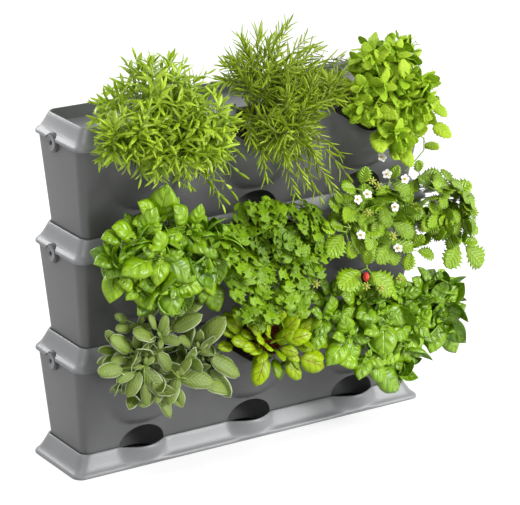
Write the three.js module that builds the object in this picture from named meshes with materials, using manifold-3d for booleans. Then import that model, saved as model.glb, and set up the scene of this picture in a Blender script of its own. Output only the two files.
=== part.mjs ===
// Vertical planter tower: a drip tray and three stacked planter tiers, each planted with three herbs.
// Lengths are in millimetres. The front faces -Y, +Z is up, and the origin is the middle of the
// flat underside of the drip tray.

import * as THREE from 'three';
import { mergeVertices } from 'three/addons/utils/BufferGeometryUtils.js';
import Module from 'manifold-3d';

const wasm = await Module();
wasm.setup();

// Overall sizes of the stack
const lipWidth = 650;
const lipDepth = 139;
const tierPitch = 173;
const collarHeight = 31;
const tierNames = ['lower', 'middle', 'upper'];

// Collar: the sloping skirt round each cover and round the drip tray
const sideLean = 20;
const frontLean = 17.5;
const backLean = 8;
const mouldWall = 2.3;
const lipRadius = 17;
const rimRadius = 15;
const recessDepth = 20;
const shelfThickness = 2.5;
const cornerSteps = 3;

// Clearances
const seatGap = 0.3;
const seamGap = 1;
const cutOverrun = 6;

// Planter box: the tapered trough of each tier
const boxTopInset = 4.5;
const footTaper = 1.2;
const drainRadius = 3;
const drainSpacing = 58;
const drainSetBack = 20;

// Pockets: three bulges in the front wall of each box, with a wide mouth above
const pocketPitchShare = 0.3054;
const pocketSides = [-1, 0, 1];
const pocketHalfWidth = 82;
const pocketBulge = 23;
const pocketBottomHeight = 34;
const pocketRimDrop = 40;
const pocketBackReach = 10;

// Scoops: hollows low in the front wall that leave room for the plants of the tier below
const scoopHalfWidth = 40;
const scoopHeight = 29;
const scoopDepth = 36;
const soilScoopGap = 7;

// Drip tray
const trayFloor = 2.5;
const trayBow = 16.5;
const bowHalfWidth = 41;
const ribWidth = 3;
const ribLength = 78;
const ribPitchShare = 0.1539;
const ribPlaceShares = [-2.5, -1.5, -0.5, 0.5, 1.5, 2.5];

// Cover shelf: the flat floor inside the collar, with an opening over each pocket
const openingHalfWidth = 66;
const openingBack = 15;
const openingFront = 47;
const openingRadius = 9;
const openingSkirt = 5.5;
const notchDepth = 7;
const notchFrom = 14;
const notchTo = 46;

// Side bosses and the grommets that close them
const roundSides = 14;
const bossRadius = 15;
const bossBore = 10.5;
const bossDrop = 4.5;
const bossSetBack = 12;
const bossLength = 12;
const grommetRadius = 12.5;
const grommetFlange = 1.4;
const grommetHole = 3.5;
const grommetReach = 10;

// Potting soil and root balls
const soilTopDrop = 2;
const soilFrontDrop = 46;
const soilShoulder = 18;
const rootTopRadius = 20;
const rootBottomRadius = 14;
const rootDepth = 62;
const rootForward = 38;
const stemRadius = 5;

// Unit of the plant tables
const leafReach = 100;

const pocketPitch = lipWidth * pocketPitchShare;
const ribPitch = lipWidth * ribPitchShare;
const halfWidth = lipWidth / 2;
const halfDepth = lipDepth / 2;
const boxHeight = tierPitch - collarHeight;
const bossEnd = halfWidth - grommetFlange - seatGap;
const bossStart = bossEnd - bossLength;

// Profile of the collar. lean is 1 at the lip and 0 at the rim, rise is a share of the collar's
// height, wall is a share of the moulded wall by which the point is set in, and bow is the share
// of the tray's bowed front that reaches the point.
const skirtOutsideShares = [
  { lean: 1, rise: 0, wall: 0.5, bow: 0 },
  { lean: 1, rise: 0.08, wall: 0, bow: 0 },
  { lean: 0.95, rise: 0.15, wall: 0, bow: 0.05 },
  { lean: 0.67, rise: 0.29, wall: 0, bow: 0.33 },
  { lean: 0, rise: 1, wall: 0.1, bow: 1 },
  { lean: 0, rise: 1, wall: 1, bow: 1 },
];
const skirtInsideShares = [
  { lean: 0, rise: 0.87, wall: 0, bow: 0.87 },
  { lean: 0.67, rise: 0.25, wall: 0.9, bow: 0.33 },
  { lean: 0.95, rise: 0, wall: 1, bow: 0.05 },
];

// Pocket bulge from its underside to the lip: shares of its height, half-width and bulge
const pocketStationShares = [
  { rise: 0, width: 0.2, depth: -0.1 },
  { rise: 0.07, width: 0.48, depth: 0.4 },
  { rise: 0.22, width: 0.66, depth: 0.76 },
  { rise: 0.45, width: 0.78, depth: 0.96 },
  { rise: 0.66, width: 0.84, depth: 1 },
  { rise: 1.06, width: 0.98, depth: 0.36 },
];
const pocketFacets = 8;
const pocketLiningFacets = 6;

// Scoop from the seam to its crown: shares of its height, half-width and depth
const scoopStationShares = [
  { rise: 0, width: 1, depth: 1 },
  { rise: 0.45, width: 0.92, depth: 0.88 },
  { rise: 0.8, width: 0.62, depth: 0.56 },
  { rise: 1, width: 0.14, depth: 0.12 },
];
const scoopFacets = 6;
const soilFacets = 3;
const rootSides = 6;

// Plants, tier by tier from the left. Each clump of leaves is given by its middle, measured from
// the pocket's middle, the tower's middle and the lip, and by its half-width, half-depth and
// half-height, all as shares of leafReach.
const clumpShares = {
  lower: {
    sage: [
      { at: [-0.5, -1.24, 0.2], half: [0.76, 0.36, 0.62] },
      { at: [0.52, -1.22, 0.1], half: [0.7, 0.34, 0.6] },
    ],
    sorrel: [{ at: [0.12, -1.22, -0.02], half: [0.8, 0.34, 0.58] }],
    basil_lower: [
      { at: [-0.15, -1.22, 0.14], half: [0.82, 0.35, 0.68] },
      { at: [0.95, -1.25, 0.05], half: [0.84, 0.36, 0.78] },
      { at: [0.3, -1.3, -0.6], half: [0.62, 0.3, 0.55] },
    ],
  },
  middle: {
    basil_middle: [
      { at: [-0.45, -1.25, 0.22], half: [0.82, 0.36, 0.62] },
      { at: [0.55, -1.22, 0.14], half: [0.66, 0.34, 0.6] },
      { at: [-0.1, -1.32, -0.3], half: [0.6, 0.3, 0.45] },
    ],
    parsley: [
      { at: [0.1, -1.24, 0.05], half: [0.8, 0.35, 0.62] },
      { at: [0.1, -1.3, -0.55], half: [0.55, 0.3, 0.5] },
    ],
    strawberry: [
      { at: [-0.15, -1.22, 0.1], half: [0.8, 0.34, 0.6] },
      { at: [1.05, -1.25, 0.05], half: [0.85, 0.36, 0.66] },
      { at: [1.6, -1.15, -0.25], half: [0.5, 0.34, 0.55] },
    ],
  },
  upper: {
    tarragon: [
      { at: [0.04, -0.74, 0.8], half: [0.64, 0.5, 0.46] },
      { at: [-0.58, -1.16, 0.32], half: [0.58, 0.3, 0.54] },
      { at: [0.6, -1.14, 0.36], half: [0.56, 0.3, 0.46] },
      { at: [0.02, -1.26, -0.02], half: [0.5, 0.24, 0.42] },
      { at: [0.66, -1.18, -0.14], half: [0.4, 0.22, 0.34] },
    ],
    rosemary: [
      { at: [0.05, -0.66, 0.92], half: [0.62, 0.44, 0.55] },
      { at: [0.2, -1.18, 0.1], half: [0.66, 0.32, 0.72] },
      { at: [0.78, -0.86, 0.5], half: [0.44, 0.34, 0.34] },
    ],
    lemon_balm: [
      { at: [0.22, -0.76, 0.74], half: [0.62, 0.5, 0.4] },
      { at: [-0.22, -1.14, 0.3], half: [0.5, 0.28, 0.5] },
      { at: [0.42, -1.18, 0.2], half: [0.52, 0.3, 0.56] },
      { at: [0.14, -1.24, -0.34], half: [0.44, 0.24, 0.36] },
    ],
  },
};

// Solids and outlines

function toSolid(geometry) {
  geometry.deleteAttribute('normal');
  geometry.deleteAttribute('uv');
  const merged = mergeVertices(geometry);
  return new wasm.Manifold(
    new wasm.Mesh({
      numProp: 3,
      vertProperties: new Float32Array(merged.attributes.position.array),
      triVerts: new Uint32Array(merged.index.array),
    }),
  );
}

function toGeometry(solid) {
  const mesh = solid.getMesh();
  const geometry = new THREE.BufferGeometry();
  geometry.setAttribute('position', new THREE.BufferAttribute(mesh.vertProperties, 3));
  geometry.setIndex(new THREE.BufferAttribute(mesh.triVerts, 1));
  geometry.computeVertexNormals();
  return geometry;
}

// Solid through rings of points that all have the same number of points. A looped loft joins its
// last ring to its first, as round a collar. Any other has flat ends.
function loft(rings, looped = false) {
  const count = rings[0].length;
  const indices = [];
  const bands = looped ? rings.length : rings.length - 1;
  for (let band = 0; band < bands; band += 1) {
    const low = band * count;
    const high = ((band + 1) % rings.length) * count;
    for (let i = 0; i < count; i += 1) {
      const next = (i + 1) % count;
      indices.push(low + i, low + next, high + next, low + i, high + next, high + i);
    }
  }
  if (!looped) {
    const last = (rings.length - 1) * count;
    const bottom = rings[0].map(([x, y]) => new THREE.Vector2(x, y));
    const top = rings[rings.length - 1].map(([x, y]) => new THREE.Vector2(x, y));
    for (const [a, b, c] of THREE.ShapeUtils.triangulateShape(bottom, [])) indices.push(a, c, b);
    for (const [a, b, c] of THREE.ShapeUtils.triangulateShape(top, [])) {
      indices.push(last + a, last + b, last + c);
    }
  }
  const geometry = new THREE.BufferGeometry();
  geometry.setAttribute('position', new THREE.Float32BufferAttribute(rings.flat().flat(), 3));
  geometry.setIndex(indices);
  return toSolid(geometry);
}

// Prism of an outline between two places on the axis that stands square to it
function prism(points, axis, from, to) {
  const shape = new THREE.Shape(points.map(([u, v]) => new THREE.Vector2(u, v)));
  const geometry = new THREE.ExtrudeGeometry(shape, { depth: to - from, bevelEnabled: false });
  if (axis === 'x') {
    const basis = new THREE.Matrix4().makeBasis(
      new THREE.Vector3(0, 1, 0),
      new THREE.Vector3(0, 0, 1),
      new THREE.Vector3(1, 0, 0),
    );
    geometry.applyMatrix4(basis.setPosition(from, 0, 0));
  } else if (axis === 'y') {
    geometry.rotateX(Math.PI / 2);
    geometry.translate(0, to, 0);
  } else {
    geometry.translate(0, 0, from);
  }
  return toSolid(geometry);
}

function block(low, high) {
  const size = high.map((value, i) => value - low[i]);
  const middle = high.map((value, i) => (value + low[i]) / 2);
  const geometry = new THREE.BoxGeometry(...size);
  geometry.translate(...middle);
  return toSolid(geometry);
}

// Cylinder or cone between two points
function rod(from, to, fromRadius, toRadius, sides) {
  const start = new THREE.Vector3(...from);
  const end = new THREE.Vector3(...to);
  const run = new THREE.Vector3().subVectors(end, start);
  const geometry = new THREE.CylinderGeometry(toRadius, fromRadius, run.length(), sides);
  const up = new THREE.Vector3(0, 1, 0);
  geometry.applyQuaternion(
    new THREE.Quaternion().setFromUnitVectors(up, run.clone().normalize()),
  );
  geometry.translate(...start.add(end).divideScalar(2).toArray());
  return toSolid(geometry);
}

// Level ring: a rounded rectangle set in from the lip at the side, front and back. frontPoints are
// extra places along the front, each with how far it stands forward.
function ring({ side, front, back, radius, z, frontPoints = [] }) {
  const x = halfWidth - side;
  const yFront = -halfDepth + front;
  const yBack = halfDepth - back;
  const corners = [
    [-x + radius, yFront + radius],
    [x - radius, yFront + radius],
    [x - radius, yBack - radius],
    [-x + radius, yBack - radius],
  ];
  const points = [];
  corners.forEach(([cx, cy], corner) => {
    for (let step = 0; step <= cornerSteps; step += 1) {
      const angle = Math.PI + (corner + step / cornerSteps) * (Math.PI / 2);
      points.push([cx + radius * Math.cos(angle), cy + radius * Math.sin(angle), z]);
    }
    if (corner === 0) {
      for (const { at, forward } of frontPoints) points.push([at, yFront - forward, z]);
    }
  });
  return points;
}

function pocketCentres() {
  return pocketSides.map((side) => side * pocketPitch);
}

// Collar

function collarRing(profilePoint, lipZ, frontPointsAt) {
  const { lean, rise, wall } = profilePoint;
  const inward = wall * mouldWall;
  return ring({
    side: sideLean * (1 - lean) + inward,
    front: frontLean * (1 - lean) + inward,
    back: backLean * (1 - lean) + inward,
    radius: rimRadius + (lipRadius - rimRadius) * lean - inward,
    z: lipZ + collarHeight * rise,
    frontPoints: frontPointsAt(profilePoint),
  });
}

// Skirt, rim and inner wall in one. The inner wall goes down to wallFoot above the lip's underside.
function collar(lipZ, wallFoot, frontPointsAt = () => []) {
  const foot = wallFoot / collarHeight;
  const profile = [
    ...skirtOutsideShares,
    { lean: 0, rise: foot, wall: 1, bow: foot },
    { lean: 0, rise: foot, wall: 0, bow: foot },
    ...skirtInsideShares,
  ];
  return loft(profile.map((point) => collarRing(point, lipZ, frontPointsAt)), true);
}

// Plan inside the rim, at a distance in from the rim's outside
function insideRim(z, inward) {
  return ring({
    side: sideLean + inward,
    front: frontLean + inward,
    back: backLean + inward,
    radius: rimRadius - inward,
    z,
  });
}

// Planter box

// Inset of the box's outside at a height above the seam. Below the seam it is the foot, which
// stands inside the collar of the tier below.
function boxInset(lean, height) {
  const atSeam = lean + mouldWall + seamGap;
  const above = Math.max(0, height / boxHeight);
  const below = Math.max(0, -height / recessDepth);
  return atSeam + (boxTopInset - atSeam) * above + footTaper * below;
}

function boxRing(seamZ, height, inward) {
  const radius = rimRadius - mouldWall + (lipRadius - rimRadius) * (height / boxHeight);
  return ring({
    side: boxInset(sideLean, height) + inward,
    front: boxInset(frontLean, height) + inward,
    back: boxInset(backLean, height) + inward,
    radius: radius - inward,
    z: seamZ + height,
  });
}

function frontWallY(height) {
  return -halfDepth + boxInset(frontLean, height);
}

// Pocket bulge with its surface set in by inward and its underside raised. It reaches back through
// the front wall.
function pocket(seamZ, centreX, inward, raised, facets) {
  const span = boxHeight - pocketBottomHeight;
  const rings = pocketStationShares.map(({ rise, width, depth }) => {
    const height = pocketBottomHeight + span * rise + (rise < 0.5 ? raised : 0);
    const halfSpan = pocketHalfWidth * width - inward;
    const forward = pocketBulge * depth - inward;
    const wallY = frontWallY(height);
    const points = [[centreX - halfSpan, wallY + pocketBackReach, seamZ + height]];
    for (let i = 0; i <= facets; i += 1) {
      const angle = Math.PI * (1 - i / facets);
      const x = centreX + halfSpan * Math.cos(angle);
      points.push([x, wallY - forward * Math.sin(angle), seamZ + height]);
    }
    points.push([centreX + halfSpan, wallY + pocketBackReach, seamZ + height]);
    return points;
  });
  return loft(rings);
}

// Hollow low in the front wall, from bottomZ up, with its surface moved out by outward
function scoop(seamZ, centreX, outward, bottomZ, facets) {
  const stations = [{ rise: (bottomZ - seamZ) / scoopHeight, width: 1, depth: 1 }];
  stations.push(...scoopStationShares);
  const rings = stations.map(({ rise, width, depth }) => {
    const height = scoopHeight * rise + (rise > 0.5 ? outward : 0);
    const halfSpan = scoopHalfWidth * width + outward;
    const inwardReach = scoopDepth * depth + outward;
    const wallY = frontWallY(Math.max(0, height));
    const z = seamZ + height;
    const points = [];
    for (let i = 0; i <= facets; i += 1) {
      const angle = Math.PI * (i / facets);
      const x = centreX + halfSpan * Math.cos(angle);
      points.push([x, wallY + inwardReach * Math.sin(angle), z]);
    }
    points.push([centreX - halfSpan, wallY - cutOverrun, z]);
    points.push([centreX + halfSpan, wallY - cutOverrun, z]);
    return points;
  });
  return loft(rings);
}

// The planter's body with its surface set in by inward: at 0 its outside, at the wall thickness its
// hollow, and a little more than that the soil that fills it. underGap is how far it stays off the
// scoops and the undersides of the pockets.
function boxBody({ seamZ, inward, underGap, floorZ, topZ, pocketSteps, scoopSteps }) {
  let body = loft([
    boxRing(seamZ, floorZ - seamZ, inward),
    boxRing(seamZ, 0, inward),
    boxRing(seamZ, topZ - seamZ, inward),
  ]);
  for (const x of pocketCentres()) {
    body = body.add(pocket(seamZ, x, inward, underGap, pocketSteps));
  }
  for (const x of pocketCentres()) {
    body = body.subtract(scoop(seamZ, x, underGap, floorZ - cutOverrun, scoopSteps));
  }
  return body;
}

// Height of the box's upper edge over the lip's underside, just under the slope of the skirt
function boxEdgeRise() {
  const [, slope, lip] = skirtInsideShares;
  const lipInset = sideLean * (1 - lip.lean) + lip.wall * mouldWall;
  const slopeInset = sideLean * (1 - slope.lean) + slope.wall * mouldWall;
  const share = (boxTopInset - lipInset) / (slopeInset - lipInset);
  return share * slope.rise * collarHeight - seatGap;
}

// Front view of what is cut away over a pocket's dipped rim
function pocketMouth(centreX, lipZ) {
  const steps = 8;
  const points = [];
  for (let i = 0; i <= steps; i += 1) {
    const share = (2 * i) / steps - 1;
    const dip = (1 + Math.cos(Math.PI * share)) / 2;
    points.push([centreX + pocketHalfWidth * share, lipZ - pocketRimDrop * dip]);
  }
  points.push([centreX + pocketHalfWidth, lipZ + collarHeight]);
  points.push([centreX - pocketHalfWidth, lipZ + collarHeight]);
  return points;
}

// Point on the axis of a side boss, at a distance out from the tower's middle
function onBossAxis(side, lipZ, distance) {
  return [side * distance, bossSetBack, lipZ - bossDrop];
}

function bossRod(side, lipZ, from, to, radius) {
  const start = onBossAxis(side, lipZ, from);
  return rod(start, onBossAxis(side, lipZ, to), radius, radius, roundSides);
}

function planterBox(seamZ, lipZ) {
  const topZ = lipZ + boxEdgeRise();
  const footZ = seamZ - recessDepth + seatGap;
  let box = boxBody({
    seamZ,
    inward: 0,
    underGap: 0,
    floorZ: footZ,
    topZ,
    pocketSteps: pocketFacets,
    scoopSteps: scoopFacets,
  });
  for (const side of [-1, 1]) {
    box = box.add(bossRod(side, lipZ, bossStart, bossEnd, bossRadius));
  }
  const hollow = boxBody({
    seamZ,
    inward: mouldWall,
    underGap: mouldWall,
    floorZ: footZ + mouldWall,
    topZ: topZ + cutOverrun,
    pocketSteps: pocketLiningFacets,
    scoopSteps: scoopFacets,
  });
  box = box.subtract(hollow);
  for (const side of [-1, 1]) {
    box = box.subtract(
      bossRod(side, lipZ, bossStart - cutOverrun, bossEnd + cutOverrun, bossBore),
    );
  }
  for (const x of pocketCentres()) {
    const backY = frontWallY(boxHeight) + cutOverrun * 2;
    box = box.subtract(prism(pocketMouth(x, lipZ), 'y', -lipDepth, backY));
    for (const side of [-1, 1]) {
      const holeX = x + side * drainSpacing;
      const holeY = frontWallY(0) + drainSetBack;
      const below = [holeX, holeY, footZ - cutOverrun];
      const above = [holeX, holeY, footZ + cutOverrun];
      box = box.subtract(rod(below, above, drainRadius, drainRadius, 6));
    }
  }
  return box;
}

// Cover: the collar and the shelf of one tier, in one moulding

// Plan of a shelf opening with its notch, moved out by grow
function shelfOpening(centreX, grow) {
  const right = openingHalfWidth + grow;
  const back = -openingBack + grow;
  const outline = new THREE.Shape();
  outline.moveTo(-right, -openingFront);
  outline.lineTo(right, -openingFront);
  outline.absarc(right - openingRadius, back - openingRadius, openingRadius, 0, Math.PI / 2);
  outline.lineTo(-notchFrom + grow, back);
  outline.lineTo(-notchFrom + grow, back + notchDepth);
  outline.lineTo(-notchTo - grow, back + notchDepth);
  outline.lineTo(-notchTo - grow, back);
  outline.absarc(-right + openingRadius, back - openingRadius, openingRadius, Math.PI / 2, Math.PI);
  return outline.getPoints(2).map((point) => [centreX + point.x, point.y]);
}

// Front view of the bell-shaped mouth in the collar, which runs out along the lip
function collarMouth(centreX, lipZ) {
  const steps = 4;
  const right = [[pocketHalfWidth, lipZ - cutOverrun]];
  for (let i = steps; i >= 0; i -= 1) {
    const angle = (Math.PI / 2) * (i / steps);
    const reach = pocketHalfWidth - (pocketHalfWidth - bowHalfWidth) * Math.cos(angle);
    right.push([reach, lipZ + collarHeight * (1 - Math.sin(angle))]);
  }
  right.push([bowHalfWidth, lipZ + collarHeight + cutOverrun]);
  const left = right.map(([x, z]) => [-x, z]).reverse();
  return [...right, ...left].map(([x, z]) => [centreX + x, z]);
}

function cover(lipZ) {
  const shelfTop = lipZ + collarHeight - recessDepth;
  const shelfUnder = shelfTop - shelfThickness;
  const skirtFoot = shelfUnder - openingSkirt;
  let moulding = collar(lipZ, shelfUnder - lipZ);
  const shelf = loft([
    insideRim(shelfUnder, mouldWall / 2),
    insideRim(shelfTop, mouldWall / 2),
  ]);
  moulding = moulding.add(shelf);
  for (const x of pocketCentres()) {
    moulding = moulding.add(prism(shelfOpening(x, mouldWall), 'z', skirtFoot, shelfTop - seatGap));
  }
  for (const x of pocketCentres()) {
    const opening = prism(shelfOpening(x, 0), 'z', skirtFoot - cutOverrun, shelfTop + cutOverrun);
    const rimInsideY = -halfDepth + frontLean + mouldWall;
    const mouth = prism(collarMouth(x, lipZ), 'y', -lipDepth, rimInsideY + cutOverrun);
    moulding = moulding.subtract(opening).subtract(mouth);
  }
  for (const side of [-1, 1]) {
    const radius = bossRadius + seatGap;
    const from = bossStart - seatGap;
    const to = halfWidth + cutOverrun;
    const middleZ = lipZ - bossDrop;
    moulding = moulding.subtract(bossRod(side, lipZ, from, to, radius));
    const slot = block(
      [Math.min(side * from, side * to), bossSetBack - radius, middleZ - bossRadius],
      [Math.max(side * from, side * to), bossSetBack + radius, middleZ],
    );
    moulding = moulding.subtract(slot);
  }
  return moulding;
}

// Drip tray: the same collar with a basin, and ribs that carry the lowest box

// Places along the tray's front, which bows forward under each scoop
function bowedFront({ bow }) {
  const steps = 6;
  const points = [];
  for (const x of pocketCentres()) {
    for (let i = 0; i <= steps; i += 1) {
      const share = (2 * i) / steps - 1;
      const forward = trayBow * Math.cos((Math.PI / 2) * share) * bow;
      points.push({ at: x + bowHalfWidth * share, forward });
    }
  }
  return points;
}

function dripTray() {
  const basin = loft([
    insideRim(0, mouldWall / 2),
    insideRim(trayFloor, mouldWall / 2),
  ]);
  let tray = collar(0, 0, bowedFront).add(basin);
  const ribTop = collarHeight - recessDepth;
  const middleY = (frontLean - backLean) / 2;
  for (const share of ribPlaceShares) {
    const x = share * ribPitch;
    const rib = block(
      [x - ribWidth / 2, middleY - ribLength / 2, trayFloor / 2],
      [x + ribWidth / 2, middleY + ribLength / 2, ribTop],
    );
    tray = tray.add(rib);
  }
  return tray;
}

// Grommet of a side boss: a flange over its end, a sleeve in its bore and a hole for a hose

function grommet(side, lipZ) {
  const sleeve = bossBore - seatGap;
  const profile = [
    [grommetHole, 0],
    [grommetHole, -grommetFlange - grommetReach],
    [sleeve, -grommetFlange - grommetReach],
    [sleeve, -grommetFlange],
    [grommetRadius, -grommetFlange],
    [grommetRadius, 0],
    [grommetHole, 0],
  ].map(([radius, along]) => new THREE.Vector2(radius, along));
  const geometry = new THREE.LatheGeometry(profile, roundSides);
  geometry.rotateZ((-side * Math.PI) / 2);
  geometry.translate(...onBossAxis(side, lipZ, halfWidth));
  return toSolid(geometry);
}

// Soil: fills the box, level under the shelf and sloping down to the rims of the pockets

const soilFrontY = -halfDepth - pocketBulge;

function soilTopZ(y, lipZ) {
  const share = Math.min(1, Math.max(0, (-soilShoulder - y) / (-soilShoulder - soilFrontY)));
  return lipZ - soilTopDrop - (soilFrontDrop - soilTopDrop) * share;
}

// Cone of a root ball, moved out by grow and carried on above the soil by rise
function rootBall(x, lipZ, grow, rise) {
  const top = soilTopZ(-rootForward, lipZ);
  const low = [x, -rootForward, top - rootDepth - grow];
  const high = [x, -rootForward, top + rise];
  const flare = (rootTopRadius - rootBottomRadius) * (rise / rootDepth);
  return rod(low, high, rootBottomRadius + grow, rootTopRadius + flare + grow, rootSides);
}

function soil(seamZ, lipZ) {
  const inward = mouldWall + seatGap;
  const floorZ = seamZ - recessDepth + seatGap + inward;
  let body = boxBody({
    seamZ,
    inward,
    underGap: inward + soilScoopGap,
    floorZ,
    topZ: lipZ + cutOverrun,
    pocketSteps: soilFacets,
    scoopSteps: soilFacets,
  });
  const air = [
    [lipDepth, soilTopZ(lipDepth, lipZ)],
    [-soilShoulder, soilTopZ(-soilShoulder, lipZ)],
    [soilFrontY, soilTopZ(soilFrontY, lipZ)],
    [-lipDepth, soilTopZ(-lipDepth, lipZ)],
    [-lipDepth, lipZ + collarHeight],
    [lipDepth, lipZ + collarHeight],
  ];
  body = body.subtract(prism(air, 'x', -halfWidth, halfWidth));
  const reach = bossRadius + seatGap;
  for (const side of [-1, 1]) {
    const [x, y, z] = onBossAxis(side, lipZ, bossStart - seatGap);
    const low = [Math.min(x, x + side * bossLength), y - reach, z - reach];
    const high = [Math.max(x, x + side * bossLength), y + reach, z + reach];
    body = body.subtract(block(low, high));
  }
  for (const x of pocketCentres()) {
    body = body.subtract(rootBall(x, lipZ, seatGap, soilFrontDrop));
  }
  return body;
}

// Plant: a root ball in the soil, a stem through the pocket's mouth and clumps of leaves

function clump(centreX, lipZ, { at, half }) {
  const geometry = new THREE.IcosahedronGeometry(1, 1);
  geometry.scale(...half.map((share) => share * leafReach));
  const [x, y, z] = at.map((share) => share * leafReach);
  geometry.translate(centreX + x, y, lipZ + z);
  return toSolid(geometry);
}

function plant(centreX, lipZ, clumps) {
  const [first] = clumps;
  const rootTop = [centreX, -rootForward, soilTopZ(-rootForward, lipZ) - stemRadius];
  const crown = [centreX, first.at[1] * leafReach, lipZ + first.at[2] * leafReach];
  let body = rootBall(centreX, lipZ, 0, 0);
  body = body.add(rod(rootTop, crown, stemRadius, stemRadius, 6));
  for (const shares of clumps) body = body.add(clump(centreX, lipZ, shares));
  return body;
}

// Assembly

const plasticGrey = { color: 0x8b8d90, roughness: 0.55, metalness: 0 };
const grommetGrey = { color: 0x77797c, roughness: 0.5, metalness: 0 };
const soilBrown = { color: 0x3a2a1e, roughness: 0.95, metalness: 0 };
const leafGreens = {
  sage: 0x8a9a78,
  sorrel: 0x8fae2e,
  basil_lower: 0x5c8a2c,
  basil_middle: 0x5f9130,
  parsley: 0x4c8a34,
  strawberry: 0x5b8f3a,
  tarragon: 0x8fae5a,
  rosemary: 0x5d7a52,
  lemon_balm: 0x7fae46,
};

const tower = new THREE.Group();
tower.name = 'planter_tower';

function addPiece(name, solid, look) {
  const mesh = new THREE.Mesh(toGeometry(solid), new THREE.MeshStandardMaterial(look));
  mesh.name = name;
  tower.add(mesh);
}

addPiece('drip_tray', dripTray(), plasticGrey);
tierNames.forEach((tier, index) => {
  const seamZ = index * tierPitch + collarHeight;
  const lipZ = (index + 1) * tierPitch;
  addPiece(`planter_${tier}`, planterBox(seamZ, lipZ), plasticGrey);
  addPiece(`cover_${tier}`, cover(lipZ), plasticGrey);
  addPiece(`grommet_${tier}_left`, grommet(-1, lipZ), grommetGrey);
  addPiece(`grommet_${tier}_right`, grommet(1, lipZ), grommetGrey);
  addPiece(`soil_${tier}`, soil(seamZ, lipZ), soilBrown);
  Object.entries(clumpShares[tier]).forEach(([name, clumps], place) => {
    const look = { color: leafGreens[name], roughness: 0.8, metalness: 0 };
    addPiece(name, plant(pocketSides[place] * pocketPitch, lipZ, clumps), look);
  });
});

export default tower;
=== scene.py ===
# %% [markdown]
# # A stacked planter tower full of herbs
# The object is a tower of three trough planters on a drip tray. Each tier is a tapered box with
# three bulging pockets in its front, a sloping collar snapped over its rim, two side bosses with
# grommets, soil, and one plant in each pocket. The grey plastic is smooth and exact, so it is
# modelled with edit-mode operators. The plants are soft and irregular, so every leaf is one small
# template that is copied, bent and turned by a little arithmetic.

# %% Load the fixed frame
import math
import random

import bmesh
import bpy
import numpy as np
from mathutils import Matrix, Vector


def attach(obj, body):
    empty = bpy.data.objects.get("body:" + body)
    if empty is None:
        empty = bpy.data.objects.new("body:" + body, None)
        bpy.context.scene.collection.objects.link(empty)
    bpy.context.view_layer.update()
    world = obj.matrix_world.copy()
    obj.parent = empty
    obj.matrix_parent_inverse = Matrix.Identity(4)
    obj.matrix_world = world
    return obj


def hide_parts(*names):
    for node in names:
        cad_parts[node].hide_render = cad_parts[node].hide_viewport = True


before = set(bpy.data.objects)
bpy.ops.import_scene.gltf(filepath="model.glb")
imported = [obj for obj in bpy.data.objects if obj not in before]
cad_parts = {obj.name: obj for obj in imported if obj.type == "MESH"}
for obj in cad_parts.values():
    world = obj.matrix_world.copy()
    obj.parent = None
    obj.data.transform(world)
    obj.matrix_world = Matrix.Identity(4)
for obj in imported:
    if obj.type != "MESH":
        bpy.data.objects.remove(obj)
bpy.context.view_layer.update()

# %% [markdown]
# ## The sizes of the mouldings
# Everything is measured in metres, from the middle of the tray's underside. The front of the
# tower faces -Y. The three tiers are the same moulding, one pitch above the other, so each piece
# is modelled once, on the lowest tier, and copied upwards. `PAST` is how far a cutting tool runs
# past what it cuts, `NEARLY` is the play in comparing two places, and `FULLEST` is the share of a
# pocket's height at which it stands out furthest.

# %% Sizes
MM = 0.001
HALF_WIDTH = 325 * MM
HALF_DEPTH = 69.5 * MM
PITCH = 173 * MM
COLLAR = 31 * MM
SIDE_LEAN = 20 * MM
FRONT_LEAN = 17.5 * MM
BACK_LEAN = 8 * MM
WALL = 2.3 * MM
LIP_RADIUS = 17 * MM
RIM_RADIUS = 15 * MM
RECESS = 20 * MM
BOX_HEIGHT = PITCH - COLLAR
SEAT = 0.3 * MM
TIERS = ["lower", "middle", "upper"]
POCKETS = [-198.5 * MM, 0.0, 198.5 * MM]
HALF_POCKET = 82 * MM
BULGE = 23 * MM
FULLEST = 0.66
POCKET_FOOT = 34 * MM
RIM_DROP = 40 * MM
HALF_MOUTH = 41 * MM
TOP_INSET = 4.5 * MM
SEAM_PLAY = 1 * MM
FOOT_TAPER = 1.2 * MM
SCOOP = (40 * MM, 36 * MM, 29 * MM)
BOSS_Y = 12 * MM
BOSS_DROP = 4.5 * MM
BOSS_RADIUS = 15 * MM
BOSS_LENGTH = 12 * MM
BOSS_END = HALF_WIDTH - 1.7 * MM
BORE_RADIUS = 10.5 * MM
BORE_LENGTH = 24 * MM
DRAIN_RADIUS = 3 * MM
DRAIN_REACH = 58 * MM
BOW = 16.5 * MM
PLATE = 2.5 * MM
RIB = (3 * MM, 78 * MM, 9.8 * MM)
RIB_PITCH = 100 * MM
RIB_BACK = 4.75 * MM
RIB_FOOT = 1.2 * MM
PAST = 6 * MM
FRONT_OF_ALL = -140 * MM
NEARLY = 0.01 * MM
print("One tier adds", round(PITCH / MM), "mm, and its box is", round(BOX_HEIGHT / MM), "mm high")

# %% [markdown]
# ## The camera
# The photograph is taken from the front left and from above, with a long lens, so the long edges
# hardly converge. The place and turn of the camera were worked out from the straight edges of the
# collars. The picture is 520 by 505 pixels, and `sight` gives the point on the line of sight of a
# pixel at a given distance to the front or back. That is how each shoot is later put where the
# photograph shows it.

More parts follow.
